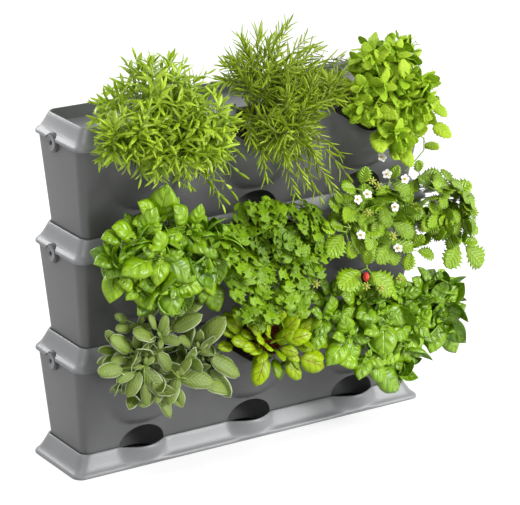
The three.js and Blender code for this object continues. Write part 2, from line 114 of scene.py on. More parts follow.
# %% Camera
EYE = Vector((-2.26539, -3.34056, 1.74131))
FORWARD = Vector((0.53555, 0.77373, -0.33842)).normalized()
ROLL = math.radians(1.61)
FOCAL_PIXELS = 2754.68
IMAGE = (520, 505)
SENSOR = 36
level_right = FORWARD.cross(Vector((0, 0, 1))).normalized()
level_up = level_right.cross(FORWARD)
RIGHT = level_right * math.cos(ROLL) + level_up * math.sin(ROLL)
UP = level_up * math.cos(ROLL) - level_right * math.sin(ROLL)
camera_data = bpy.data.cameras.new("photo_camera")
camera_data.sensor_fit = "HORIZONTAL"
camera_data.sensor_width = SENSOR
camera_data.lens = FOCAL_PIXELS / IMAGE[0] * SENSOR
camera = bpy.data.objects.new("photo_camera", camera_data)
bpy.context.scene.collection.objects.link(camera)
turn = Matrix((RIGHT, UP, -FORWARD)).transposed().to_4x4()
camera.matrix_world = Matrix.Translation(EYE) @ turn
bpy.context.scene.camera = camera


def sight(u, v, y):
    """The point that pixel (u, v) of the photograph shows, at that distance along Y in metres."""
    across = (u - IMAGE[0] / 2) / FOCAL_PIXELS
    down = (v - IMAGE[1] / 2) / FOCAL_PIXELS
    ray = FORWARD + RIGHT * across - UP * down
    return EYE + ray * ((y - EYE.y) / ray.y)


print("The lens is", round(camera_data.lens, 1), "mm")

# %% [markdown]
# ## Working by code as by hand
# An operator acts on whatever is selected, so each step first clears the selection. In edit mode
# the faces and edges are picked by where they are, which is what `pick` does. `fuse` joins pieces
# into one object, and `combine` is a Boolean modifier that is applied at once and uses up its tool.

# %% Helpers for modelling
def clear():
    if bpy.context.object and bpy.context.object.mode != "OBJECT":
        bpy.ops.object.mode_set(mode="OBJECT")
    bpy.ops.object.select_all(action="DESELECT")


def work_on(piece):
    clear()
    piece.select_set(True)
    bpy.context.view_layer.objects.active = piece


def edit(piece):
    work_on(piece)
    bpy.ops.object.mode_set(mode="EDIT")
    bpy.ops.mesh.select_all(action="DESELECT")


def pick(piece, kind, test):
    """Selects the vertices, edges or faces for which test is true, in edit mode."""
    bpy.ops.mesh.select_mode(type={"verts": "VERT", "edges": "EDGE", "faces": "FACE"}[kind])
    bpy.ops.mesh.select_all(action="DESELECT")
    mesh = bmesh.from_edit_mesh(piece.data)
    for part in getattr(mesh, kind):
        if test(part):
            part.select_set(True)
    mesh.select_flush(True)
    bmesh.update_edit_mesh(piece.data)


def extrude(x, y, z):
    bpy.ops.mesh.extrude_region_move(TRANSFORM_OT_translate={"value": (x, y, z)})


def close_up():
    """Turns every face outwards and leaves edit mode."""
    bpy.ops.mesh.select_all(action="SELECT")
    bpy.ops.mesh.normals_make_consistent(inside=False)
    bpy.ops.object.mode_set(mode="OBJECT")


def settle(piece):
    """Leaves the piece with its place in its mesh."""
    work_on(piece)
    bpy.ops.object.transform_apply(location=True, rotation=True, scale=True)
    return piece


def fuse(pieces, name):
    clear()
    for piece in pieces:
        piece.select_set(True)
    bpy.context.view_layer.objects.active = pieces[0]
    if len(pieces) > 1:
        bpy.ops.object.join()
    pieces[0].name = name
    return pieces[0]


def combine(piece, tool, operation):
    """A Boolean of two closed meshes, applied at once."""
    work_on(piece)
    change = piece.modifiers.new("combine", "BOOLEAN")
    change.operation = operation
    change.solver = "MANIFOLD"
    change.object = tool
    bpy.ops.object.modifier_apply(modifier=change.name)
    bpy.data.objects.remove(tool)


def open_edges(piece):
    mesh = bmesh.new()
    mesh.from_mesh(piece.data)
    count = sum(1 for edge in mesh.edges if len(edge.link_faces) != 2)
    mesh.free()
    return count


def dress(piece, material, degrees=34):
    """Gives the piece its finish, and smooth shading except at edges sharper than the angle."""
    work_on(piece)
    bpy.ops.object.shade_smooth_by_angle(angle=math.radians(degrees))
    piece.data.materials.clear()
    piece.data.materials.append(material)


def block(name, place, size):
    clear()
    bpy.ops.mesh.primitive_cube_add(size=1, location=place)
    piece = bpy.context.object
    piece.name = name
    piece.scale = size
    return settle(piece)


def repeat(piece, name, shift):
    """A copy of the piece with its own mesh, moved by shift."""
    twin = piece.copy()
    twin.data = piece.data.copy()
    twin.data.transform(Matrix.Translation(shift))
    twin.name = name
    bpy.context.scene.collection.objects.link(twin)
    return twin


print("Helpers are ready")

# %% [markdown]
# ## Level rings
# Every moulding here is a stack of level rounded rectangles. The first is a plane whose corners
# are bevelled. Each next one is made by extruding the top face, resizing it and shifting it, as
# one would with the E, S and G keys. A ring is given by how far it is set in from the lip at the
# sides, the front and the back.

# %% Stacks of rings
def level(lean, height, inward):
    """A ring of the collar. lean is 1 at the lip and 0 at the rim."""
    ring = {"z": height}
    for side, full in (("side", SIDE_LEAN), ("front", FRONT_LEAN), ("back", BACK_LEAN)):
        ring[side] = full * (1 - lean) + inward
    return ring


def spans(ring):
    half = HALF_WIDTH - ring["side"]
    low = -HALF_DEPTH + ring["front"]
    high = HALF_DEPTH - ring["back"]
    return half, low, high


def first_ring(name, ring, radius, columns):
    half, low, high = spans(ring)
    clear()
    bpy.ops.mesh.primitive_plane_add(size=2, location=(0, (low + high) / 2, ring["z"]))
    piece = bpy.context.object
    piece.name = name
    piece.scale = (half, (high - low) / 2, 1)
    settle(piece)
    edit(piece)
    bpy.ops.mesh.select_all(action="SELECT")
    bpy.ops.mesh.bevel(offset=radius, segments=7, affect="VERTICES")
    pick(piece, "edges", lambda edge: (all(abs(v.co.y - low) < NEARLY for v in edge.verts)
                                       and edge.calc_length() > half))
    bpy.ops.mesh.subdivide(number_cuts=columns - 1)
    pick(piece, "faces", lambda face: True)
    return piece


def next_ring(before, after):
    half, low, high = spans(before)
    new_half, new_low, new_high = spans(after)
    bpy.ops.mesh.extrude_region_move()
    bpy.ops.transform.resize(value=(new_half / half, (new_high - new_low) / (high - low), 1),
                             center_override=(0, (low + high) / 2, before["z"]))
    bpy.ops.transform.translate(value=(0, (new_low + new_high - low - high) / 2, after["z"] - before["z"]))


def stack(name, rings, radius, columns=40):
    piece = first_ring(name, rings[0], radius, columns)
    for before, after in zip(rings, rings[1:]):
        next_ring(before, after)
    close_up()
    return piece


def move_vertices(piece, change):
    """Moves each vertex to change(x, y, z), which works on whole arrays."""
    points = np.empty(len(piece.data.vertices) * 3)
    piece.data.vertices.foreach_get("co", points)
    points = points.reshape(-1, 3)
    x, y, z = change(points[:, 0].copy(), points[:, 1].copy(), points[:, 2].copy())
    piece.data.vertices.foreach_set("co", np.stack([x, y, z], axis=1).ravel())
    piece.data.update()


print("Rings are ready")

# %% [markdown]
# ## Cutting tools with a curved edge
# The dipped rim of a pocket and the bell-shaped mouth of a collar are both outlines seen from the
# front. A grid one cell high is stood up, its lower and upper vertices are moved onto two curves,
# and the strip is extruded to the back.

# %% A curved block
def curved_block(name, middle, columns, lower, upper, back):
    """A block as wide as a pocket, between two curves of the share of its half width."""
    clear()
    bpy.ops.mesh.primitive_grid_add(x_subdivisions=columns, y_subdivisions=1, size=2)
    piece = bpy.context.object
    piece.name = name

    def stand(x, y, z):
        low = np.array([lower(share) for share in x])
        high = np.array([upper(share) for share in x])
        return middle + HALF_POCKET * x, np.full_like(x, FRONT_OF_ALL), np.where(y < 0, low, high)

    move_vertices(piece, stand)
    edit(piece)
    bpy.ops.mesh.select_all(action="SELECT")
    extrude(0, back - FRONT_OF_ALL, 0)
    close_up()
    return piece


def rod(name, place, radius, length, axis, sides):
    turn = (0, math.pi / 2, 0) if axis == "x" else (0, 0, 0)
    clear()
    bpy.ops.mesh.primitive_cylinder_add(vertices=sides, radius=radius, depth=length, location=place,
                                        rotation=turn)
    piece = bpy.context.object
    piece.name = name
    return settle(piece)


print("Cutting tools are ready")

# %% [markdown]
# ## Shader maths as expressions
# A finish is easier to read as a formula than as a heap of nodes. `Value` wraps one output socket
# and turns plus, minus and times into Math nodes. `Finish` makes a material, or takes the world,
# and adds any other node, with its settings first and the values or links of its sockets after them.

# %% The Value and Finish classes
class Value:
    def __init__(self, finish, socket):
        self.finish = finish
        self.socket = socket

    def math(self, operation, *others):
        inputs = {place: value for place, value in enumerate([self, *others])}
        return self.finish.node("ShaderNodeMath", {"operation": operation}, inputs)

    def __add__(self, other):
        return self.math("ADD", other)

    __radd__ = __add__

    def __sub__(self, other):
        return self.math("SUBTRACT", other)

    def __rsub__(self, other):
        return self.finish.node("ShaderNodeMath", {"operation": "SUBTRACT"}, {0: other, 1: self})

    def __mul__(self, other):
        return self.math("MULTIPLY", other)

    __rmul__ = __mul__

    def size(self):
        return self.math("ABSOLUTE")

    def step(self, low, high):
        """0 below low, 1 above high, and a smooth slope between."""
        return self.finish.node("ShaderNodeMapRange", {"interpolation_type": "SMOOTHSTEP"},
                                {"Value": self, "From Min": low, "From Max": high})


class Finish:
    def __init__(self, name, owner=None, shader="Principled BSDF"):
        self.material = owner or bpy.data.materials.new(name)
        self.material.use_nodes = True
        self.tree = self.material.node_tree
        self.shader = self.tree.nodes[shader]

    def node(self, kind, settings=None, inputs=None, output=0):
        node = self.tree.nodes.new(kind)
        for key, value in (settings or {}).items():
            setattr(node, key, value)
        for key, value in (inputs or {}).items():
            self.feed(node.inputs[key], value)
        return Value(self, node.outputs[output])

    def feed(self, socket, value):
        if isinstance(value, Value):
            self.tree.links.new(value.socket, socket)
        else:
            socket.default_value = value

    def mix(self, share, first, second):
        """A blend of two colours."""
        first = (*first, 1) if isinstance(first, tuple) else first
        second = (*second, 1) if isinstance(second, tuple) else second
        return self.node("ShaderNodeMix", {"data_type": "RGBA"}, {0: share, 6: first, 7: second}, 2)

    def place(self):
        return self.node("ShaderNodeTexCoord", output=3)

    def noise(self, scale, detail, roughness):
        return self.node("ShaderNodeTexNoise", {}, {"Vector": self.place(), "Scale": scale,
                                                    "Detail": detail, "Roughness": roughness})

    def seen(self):
        """1 for what the camera sees itself, in a mirror or through glass, and 0 for other light."""
        rays = self.node("ShaderNodeLightPath").socket.node.outputs
        seen = Value(self, rays["Is Camera Ray"])
        for kind in ("Glossy", "Transmission"):
            seen = seen.math("MAXIMUM", Value(self, rays[f"Is {kind} Ray"]))
        return seen

    def bump(self, height, strength, distance):
        return self.node("ShaderNodeBump", {}, {"Height": height, "Strength": strength,
                                                "Distance": distance})

    def surface(self, **sockets):
        for name, value in sockets.items():
            name = name.replace("_", " ")
            value = (*value, 1) if isinstance(value, tuple) and len(value) == 3 else value
            self.feed(self.shader.inputs[name], value)
        return self.material


print("Shader classes are ready")

# %% [markdown]
# ## The grey plastic
# The mouldings are grey polypropylene. The boxes are a darker grey, which is painted shade on their
# upright walls; the covers, the tray and the grommets are lighter. The tool's surface leaves a fine
# grain of about a millimetre, which breaks up the highlights on the sloping collars, and the grey
# itself is very slightly uneven. Two fine noises feed the bump, one of them also the roughness, and a
# broad one clouds the colour.

# %% Plastic finishes
def plastic(name, dark, light, roughness, grain):
    finish = Finish(name)
    fine = finish.noise(900, 3, 0.6)
    coarse = finish.noise(320, 2, 0.5)
    cloud = finish.noise(9, 3, 0.55)
    fleck = fine.step(0.35, 0.7)
    tone = cloud.step(0.3, 0.7) * 0.75 + fleck * 0.25
    finish.surface(
        Base_Color=finish.mix(tone, dark, light),
        Roughness=roughness + fine * 0.12 + cloud * 0.06,
        Normal=finish.bump(fine * 0.6 + coarse * 0.4, grain, 0.0006),
    )
    return finish.material


# The boxes' grey is darker than the covers' grey, as painted shade on their upright walls.
box_plastic_with_painted_shade = plastic("grained_shade_darkened_grey_plastic", dark=(0.106, 0.107, 0.108), light=(0.13, 0.131, 0.133),
                      roughness=0.32, grain=0.25)
shell_plastic = plastic("grained_grey_plastic", dark=(0.2, 0.203, 0.21), light=(0.235, 0.24, 0.248),
                        roughness=0.28, grain=0.3)
grommet_plastic = plastic("smooth_grey_plastic", dark=(0.17, 0.172, 0.177), light=(0.2, 0.203, 0.208),
                          roughness=0.38, grain=0.12)
print("Made", box_plastic_with_painted_shade.name, shell_plastic.name, "and", grommet_plastic.name)

# %% [markdown]
# ## The planter box
# The box is a tapered trough. Its front swells into three pockets, and low in the front three
# scoops leave room for the plants of the tier below. The outside is a stack of rings with many
# columns along the front. The bulges are a height field: each vertex of the front wall is moved
# forward by a formula, because no operator gives that smooth swelling. The scoops are cut with a
# squashed sphere. The hollow is the same shape set in by the wall, with scoops that are larger by
# the wall, so the wall is even. Every mesh is closed, which the fast Boolean solver needs.

# %% The box's outside
def box_inset(lean, height):
    """How far the box is set in from the lip: lean and a wall at the seam, TOP_INSET at its top."""
    seam = lean + WALL + SEAM_PLAY
    above = max(0.0, height / BOX_HEIGHT)
    below = max(0.0, -height / RECESS)
    return seam + (TOP_INSET - seam) * above + FOOT_TAPER * below


FRONT_WALL = -HALF_DEPTH + box_inset(FRONT_LEAN, 0.0)
ON_WALL = 0.3 * MM
STRAIGHT_END = 30 * MM
BOX_TOP = BOX_HEIGHT + 4.6 * MM


def bulge(x, height, inward):
    """How far the front wall stands forward at x and at that height above the seam."""
    rise = (height - POCKET_FOOT - inward) / (BOX_HEIGHT - POCKET_FOOT)
    low = np.clip((FULLEST - rise) / FULLEST, 0, 1)
    high = np.clip((rise - FULLEST) / 0.4, 0, 1)
    swell = np.sqrt(np.clip(1 - low ** 2, 0, 1)) * (1 - 0.64 * high ** 1.2)
    width = HALF_POCKET * (0.84 * np.clip(1 - low ** 2, 0, 1) ** 0.35 + 0.14 * high) - inward
    nearest = np.min([np.abs(x - middle) for middle in POCKETS], axis=0)
    round_off = np.clip(1 - (nearest / np.maximum(width, 1e-6)) ** 2, 0, 1) ** 0.72
    depth = np.where(rise < 0, 0, BULGE * swell * round_off)
    soft = 8 * MM
    depth = np.where(depth > 0, depth * depth / (depth + soft * np.exp(-depth / soft)), 0)
    return np.maximum(depth - inward, 0)


def box_skin(name, inward, top, columns, rows):
    """The box's outside, or its hollow when it is set in by the wall."""
    rings = []
    for height in [SEAT - RECESS + inward] + [top * row / rows for row in range(rows + 1)]:
        ring = {"z": COLLAR + height}
        for side, lean in (("side", SIDE_LEAN), ("front", FRONT_LEAN), ("back", BACK_LEAN)):
            ring[side] = box_inset(lean, height) + inward
        rings.append(ring)
    skin = stack(name, rings, RIM_RADIUS - WALL - inward, columns)

    def swell_front(x, y, z):
        height = z - COLLAR
        wall = np.array([-HALF_DEPTH + box_inset(FRONT_LEAN, h) + inward for h in height])
        front = (np.abs(y - wall) < ON_WALL) & (np.abs(x) < HALF_WIDTH - STRAIGHT_END)
        return x, np.where(front, y - bulge(x, height, inward), y), z

    move_vertices(skin, swell_front)
    return skin


box = box_skin("planter_lower_shell", 0.0, BOX_TOP, columns=240, rows=72)
hollow = box_skin("hollow", WALL, BOX_TOP + PAST, columns=160, rows=48)
print("The box has", len(box.data.polygons), "faces before its wall,", open_edges(box), "open edges")

# %% Scoops, wall, bosses and holes of the box
def scoop_tool(middle, grow):
    clear()
    heart = (middle, FRONT_WALL, COLLAR)
    bpy.ops.mesh.primitive_uv_sphere_add(segments=48, ring_count=24, radius=1, location=heart)
    dome = bpy.context.object
    dome.scale = [half + grow for half in SCOOP]
    settle(dome)
    edit(dome)
    bpy.ops.mesh.select_all(action="SELECT")
    bpy.ops.mesh.bisect(plane_co=heart, plane_no=(0, 0, 1), clear_inner=True, use_fill=True)
    pick(dome, "faces", lambda face: (abs(face.normal.z) > 0.9
                                      and abs(face.calc_center_median().z - COLLAR) < 10 * NEARLY))
    extrude(0, 0, -RECESS - PAST)
    close_up()
    return dome


combine(box, fuse([scoop_tool(middle, 0.0) for middle in POCKETS], "scoop_tools"), "DIFFERENCE")
combine(hollow, fuse([scoop_tool(middle, WALL) for middle in POCKETS], "scoop_walls"), "DIFFERENCE")
combine(box, hollow, "DIFFERENCE")

bosses = []
holes = []
for side in (-1, 1):
    place = (side * (BOSS_END - BOSS_LENGTH / 2), BOSS_Y, PITCH - BOSS_DROP)
    bosses.append(rod("boss", place, BOSS_RADIUS, BOSS_LENGTH, "x", 56))
    holes.append(rod("bore", place, BORE_RADIUS, BORE_LENGTH, "x", 40))
combine(box, fuse(bosses, "bosses"), "UNION")


def rim_curve(share):
    """The dipped rim over a pocket, for the share of the pocket's half width."""
    return PITCH - RIM_DROP * (1 + math.cos(math.pi * share)) / 2


wall_back = -HALF_DEPTH + TOP_INSET + 2 * PAST
for middle in POCKETS:
    holes.append(curved_block("rim_tool", middle, 48, rim_curve, lambda share: PITCH + COLLAR, wall_back))
    for side in (-1, 1):
        place = (middle + side * DRAIN_REACH, FRONT_WALL + 20 * MM, COLLAR - RECESS)
        holes.append(rod("drain", place, DRAIN_RADIUS, 2 * PAST, "z", 20))
combine(box, fuse(holes, "holes"), "DIFFERENCE")
dress(box, box_plastic_with_painted_shade)
print("The box has", len(box.data.polygons), "faces and", open_edges(box), "open edges")

# %% [markdown]
# ## The collar
# The cover is one moulding: a skirt that flares down to the lip, a rim, an inner wall, and a flat
# shelf 20 mm down that carries the next tier. Its rings go from the shelf's underside out along
# the inside of the skirt, round the lip, up the outside, over the rim and down again to the shelf.
# Small extra rings round off the lip and the rim, which is where the light catches them.

# %% The cover
def skirt(foot):
    """Rings of the collar from the inside of its lip to the inside of its rim."""
    lean_rise_and_wall_shares = [
        (0.985, 0, 1), (1, -0.002, 0.55), (1, 0.006, 0.12), (1, 0.03, 0), (0.995, 0.075, 0),
        (0.975, 0.115, 0), (0.93, 0.16, 0), (0.82, 0.215, 0), (0.68, 0.285, 0), (0.52, 0.42, 0),
        (0.35, 0.6, 0), (0.17, 0.8, 0), (0.03, 0.965, 0), (0, 0.99, 0.06), (0, 1, 0.25), (0, 1, 0.7),
        (0, 0.985, 0.95)]
    return [level(lean, foot + COLLAR * rise, WALL * wall) for lean, rise, wall in lean_rise_and_wall_shares]


shelf_top = PITCH + COLLAR - RECESS
inside = [level(0.6, shelf_top - PLATE, WALL + 4 * MM), level(0.6, PITCH + 0.28 * COLLAR - 0.3 * MM, WALL),
          level(0.93, PITCH + 0.06 * COLLAR, WALL)]
cover_rings = inside + skirt(PITCH) + [level(0, shelf_top, WALL)]
cover = stack("cover_lower_shell", cover_rings, LIP_RADIUS - WALL, columns=60)


def bell(share):
    """Upper edge of the mouth in the collar, which runs out along the lip."""
    reach = abs(share) * HALF_POCKET
    if reach < HALF_MOUTH:
        return PITCH + COLLAR + PAST
    cosine = (HALF_POCKET - reach) / (HALF_POCKET - HALF_MOUTH)
    return PITCH + COLLAR * (1 - math.sin(math.acos(min(1.0, cosine)))) - 0.4 * MM


SLOT_FRONT = -47 * MM
SLOT_BACK = -15 * MM
SLOT_HALF = 66 * MM
SLOT_CORNER = 9 * MM
NOTCH = (32 * MM, 14 * MM)
NOTCH_SHIFT = 30 * MM
SKIRT_FOOT = shelf_top - 8 * MM


def shelf_tool(middle, grow, low, high):
    """A rounded slot over the pocket, with a step in its back edge."""
    clear()
    back = SLOT_BACK + grow
    bpy.ops.mesh.primitive_plane_add(size=2, location=(middle, (back + SLOT_FRONT) / 2, low))
    tool = bpy.context.object
    tool.scale = (SLOT_HALF + grow, (back - SLOT_FRONT) / 2, 1)
    settle(tool)
    edit(tool)
    pick(tool, "verts", lambda v: v.co.y > (SLOT_FRONT + SLOT_BACK) / 2)
    bpy.ops.mesh.bevel(offset=SLOT_CORNER, segments=5, affect="VERTICES")
    pick(tool, "faces", lambda face: True)
    extrude(0, 0, high - low)
    close_up()
    notch = block("notch", (middle - NOTCH_SHIFT, back, (low + high) / 2),
                  (NOTCH[0] + 2 * grow, NOTCH[1], high - low - 2 * NEARLY))
    combine(tool, notch, "UNION")
    return tool


skirts = [shelf_tool(middle, WALL, SKIRT_FOOT, shelf_top - SEAT) for middle in POCKETS]
combine(cover, fuse(skirts, "skirts"), "UNION")
slots = [shelf_tool(middle, 0.0, SKIRT_FOOT - PAST, shelf_top + PAST) for middle in POCKETS]
combine(cover, fuse(slots, "shelf_tools"), "DIFFERENCE")
tools = [curved_block("mouth_tool", middle, 96, lambda share: PITCH - PAST, bell,
                      -HALF_DEPTH + FRONT_LEAN + WALL + PAST) for middle in POCKETS]
BOSS_PLAY = 0.3 * MM
for side in (-1, 1):
    place = (side * (BOSS_END - 1 * MM), BOSS_Y, PITCH - BOSS_DROP)
    tools.append(rod("boss_tool", place, BOSS_RADIUS + BOSS_PLAY, 22.6 * MM, "x", 56))
    slot = block("boss_slot", (place[0], BOSS_Y, PITCH - BOSS_DROP - BOSS_RADIUS / 2),
                 (22.4 * MM, 2 * (BOSS_RADIUS + BOSS_PLAY), BOSS_RADIUS))
    combine(tools[-1], slot, "UNION")
combine(cover, fuse(tools, "mouth_tools"), "DIFFERENCE")
dress(cover, shell_plastic)
print("The cover has", len(cover.data.polygons), "faces and", open_edges(cover), "open edges")

# %% [markdown]
# ## The drip tray
# The tray has the same flaring skirt, but it stands on the ground and its top bows forward under
# each scoop, so that water can be poured in. The bow is a cosine that grows from the lip to the
# rim. Six ribs on its floor carry the lowest box.

# %% The tray
def bow(x):
    nearest = np.min([np.abs(x - middle) for middle in POCKETS], axis=0)
    return np.where(nearest < HALF_MOUTH, BOW * np.cos(np.pi / 2 * nearest / HALF_MOUTH), 0)


basin = [level(0, 0.6 * COLLAR, WALL), level(0, PLATE, WALL)]
tray_rings = [level(0.9, 0, WALL + 3 * MM)] + skirt(0) + basin
tray_rings = [{**ring, "z": max(ring["z"], 0.0)} for ring in tray_rings]
tray = stack("drip_tray_shell", tray_rings, LIP_RADIUS - WALL, columns=240)


def bow_front(x, y, z):
    front = (y < -HALF_DEPTH + FRONT_LEAN + WALL + 1 * MM) & (np.abs(x) < HALF_WIDTH - 40 * MM)
    inner = y > -HALF_DEPTH + FRONT_LEAN + 0.5 * WALL
    share = np.clip(z / COLLAR, 0, 1)
    reach = np.where(inner, share, np.clip((share - 0.09) / 0.8, 0, 1) ** 0.8)
    return x, np.where(front, y - bow(x) * reach, y), z


move_vertices(tray, bow_front)
ribs = []
for share in (-2.5, -1.5, -0.5, 0.5, 1.5, 2.5):
    rib = block("rib", (share * RIB_PITCH, RIB_BACK, RIB_FOOT + RIB[2] / 2), RIB)
    edit(rib)
    pick(rib, "edges", lambda edge: all(v.co.z > 8 * MM for v in edge.verts))
    bpy.ops.mesh.bevel(offset=0.6 * MM, segments=2)
    bpy.ops.object.mode_set(mode="OBJECT")
    ribs.append(rib)
combine(tray, fuse(ribs, "ribs"), "UNION")
dress(tray, shell_plastic)
print("The tray has", len(tray.data.polygons), "faces and", open_edges(tray), "open edges")

# %% [markdown]
# ## The grommets
# Each side boss is closed by a round grommet with a hole for a thin hose. A filled circle is
# extruded to the flange. Its face is inset in small steps, each with a thickness and a rise, and
# pushed in for the hole. The sleeve is extruded from the back of the flange, round the hole.

# %% A grommet
def grommet(name, side, lip):
    clear()
    bpy.ops.mesh.primitive_circle_add(vertices=48, radius=12.5 * MM, fill_type="NGON")
    piece = bpy.context.object
    piece.name = name
    edit(piece)
    bpy.ops.mesh.select_all(action="SELECT")
    extrude(0, 0, 1 * MM)
    for thick, deep in ((0.5, 0.4), (1.4, 0), (0.5, -0.25), (5.6, 0), (0.6, -0.3)):
        bpy.ops.mesh.inset(thickness=thick * MM, depth=deep * MM)
    extrude(0, 0, -9.6 * MM)
    pick(piece, "faces", lambda face: (face.normal.z < -0.9 and len(face.verts) > 40
                                       and abs(face.calc_center_median().z) < NEARLY))
    bpy.ops.mesh.inset(thickness=2.3 * MM)
    extrude(0, 0, -10 * MM)
    bpy.ops.mesh.inset(thickness=3 * MM)
    bpy.ops.object.mode_set(mode="OBJECT")
    dress(piece, grommet_plastic)
    seat = Matrix.Translation((side * (HALF_WIDTH - 1.4 * MM), BOSS_Y, lip - BOSS_DROP))
    piece.data.transform(seat @ Matrix.Rotation(side * math.pi / 2, 4, "Y"))
    return piece


for place, tier in enumerate(TIERS):
    rise = (0, 0, place * PITCH)
    body = f"tier_{tier}"
    shell = box if place == 0 else repeat(box, f"planter_{tier}_shell", rise)
    lid = cover if place == 0 else repeat(cover, f"cover_{tier}_shell", rise)
    for piece, node in ((shell, f"planter_{tier}"), (lid, f"cover_{tier}")):
        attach(piece, body)
        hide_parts(node)
    for side, word in ((-1, "left"), (1, "right")):
        piece = grommet(f"grommet_{tier}_{word}_disc", side, PITCH * (place + 1))
        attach(piece, f"grommet_{tier}_{word}")
        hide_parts(f"grommet_{tier}_{word}")
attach(tray, "tray")
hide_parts("drip_tray")
print("Three boxes, three covers, six grommets and the tray are in place")

# %% [markdown]
# ## The soil
# The soil is damp and crumbly. The solid that fills each box gives its shape. It is remeshed into
# even voxels, and a sum of waves in all directions pushes its top up and down.

# %% The soil
def soil_finish():
    finish = Finish("damp_potting_soil")
    crumbs = finish.noise(420, 5, 0.65)
    clods = finish.noise(70, 3, 0.6)
    finish.surface(
        Base_Color=finish.mix(crumbs.step(0.35, 0.75), (0.012, 0.008, 0.006), (0.062, 0.04, 0.027)),
        Roughness=0.95,
        Normal=finish.bump(crumbs * 0.6 + clods * 0.4, 0.9, 0.003),
    )
    return finish.material


WAVES = 24
soil_material = soil_finish()
for tier in TIERS:
    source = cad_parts[f"soil_{tier}"]
    soil = source.copy()
    soil.data = source.data.copy()
    soil.name = f"soil_{tier}_crumbs"
    soil.parent = None
    soil.matrix_world = Matrix.Identity(4)
    bpy.context.scene.collection.objects.link(soil)
    soil.hide_render = False
    edit(soil)
    bpy.ops.mesh.select_all(action="SELECT")
    bpy.ops.mesh.remove_doubles(threshold=NEARLY)
    bpy.ops.object.mode_set(mode="OBJECT")
    work_on(soil)
    remesh = soil.modifiers.new("voxels", "REMESH")
    remesh.mode = "VOXEL"
    remesh.voxel_size = 5 * MM
    bpy.ops.object.modifier_apply(modifier=remesh.name)
    rng = np.random.default_rng(7)
    waves = rng.uniform(-1, 1, (WAVES, 3)) * 260
    shifts = rng.uniform(0, 6.28, WAVES)

    def crumble(x, y, z):
        places = np.stack([x, y, z], axis=1)
        height = np.sin(places @ waves.T + shifts).sum(axis=1) / WAVES
        top = z > z.max() - 50 * MM
        inner = (np.abs(x) < 290 * MM) & (y > -60 * MM) & (y < 50 * MM)
        return x, y, np.where(top & inner, z + height * 7 * MM, z)

    move_vertices(soil, crumble)
    dress(soil, soil_material, 60)
    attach(soil, f"tier_{tier}")
    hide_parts(f"soil_{tier}")
print("The soil has", len(soil.data.polygons), "faces in each tier")

# %% [markdown]
# ## How the plants are built
# Nine plants with some thousands of leaves can't be modelled leaf by leaf. Each kind of leaf is
# modelled once: a small grid is drawn in to the leaf's outline, given its dome or fold, and made
# solid with a Solidify modifier. The plant then keeps adding copies of that template. Each copy
# gets its own length, turn, droop and tone, where a low tone is painted shade, and all copies of a
# plant end as one mesh, so the file stays light. The leaves that hang over a pocket are placed by
# pixels of the photograph.

# %% Leaf templates
def leaf_shape(name, half, across, along, dome=0.0, arch=0.0, fold=0.0, wave=0.0, tooth=0.0, thick=0.014):
    """A leaf one unit long from its base at the origin along +Y, facing +Z."""
    clear()
    bpy.ops.mesh.primitive_grid_add(x_subdivisions=across, y_subdivisions=along, size=1)
    piece = bpy.context.object
    piece.name = name

    def draw(x, y, z):
        side = 2 * x
        share = y + 0.5
        width = np.maximum(half(share), 0.004)
        row = np.round(share * along)
        margin = (np.abs(side) > 0.99) & (share > 0.12)
        width = np.where(margin, width * (1 + tooth * np.where(row % 2 == 1, 1, -1)), width)
        lean = np.where(margin, tooth * 0.25 * width, 0)
        height = arch * np.sin(np.pi * np.clip(share, 0, 1)) - dome * side ** 2 * width
        height += fold * np.abs(side) * width
        height += wave * np.sin(share * 14) * np.abs(side) ** 3 * width
        return side * width, share + lean, height

    move_vertices(piece, draw)
    work_on(piece)
    skin = piece.modifiers.new("skin", "SOLIDIFY")
    skin.thickness = thick
    bpy.ops.object.modifier_apply(modifier=skin.name)
    mesh = piece.data
    points = np.empty(len(mesh.vertices) * 3)
    mesh.vertices.foreach_get("co", points)
    corners = np.empty(len(mesh.loops), dtype=int)
    mesh.loops.foreach_get("vertex_index", corners)
    flat = np.empty(len(mesh.loops) * 2)
    mesh.uv_layers.active.data.foreach_get("uv", flat)
    shape = {"points": points.reshape(-1, 3), "corners": corners, "flat": flat.reshape(-1, 2)}
    bpy.data.objects.remove(piece)
    print(name, "has", len(corners) // 4, "faces")
    return shape


def egg(width, power, lean, point=0.0):
    """Half the width along a leaf: broadest where lean puts it, and drawn out at the tip by point."""
    def half(share):
        share = np.clip(share, 0, 1)
        return width * np.clip(np.sin(np.pi * share ** lean), 0, 1) ** (power + point * share ** 2)
    return half


def lobed(share):
    """Half the width of a parsley leaflet, with two lobes a side and one at the tip."""
    return egg(0.5, 0.45, 1.25)(share) * (0.68 + 0.32 * np.cos(2 * np.pi * (share - 0.44) / 0.37))


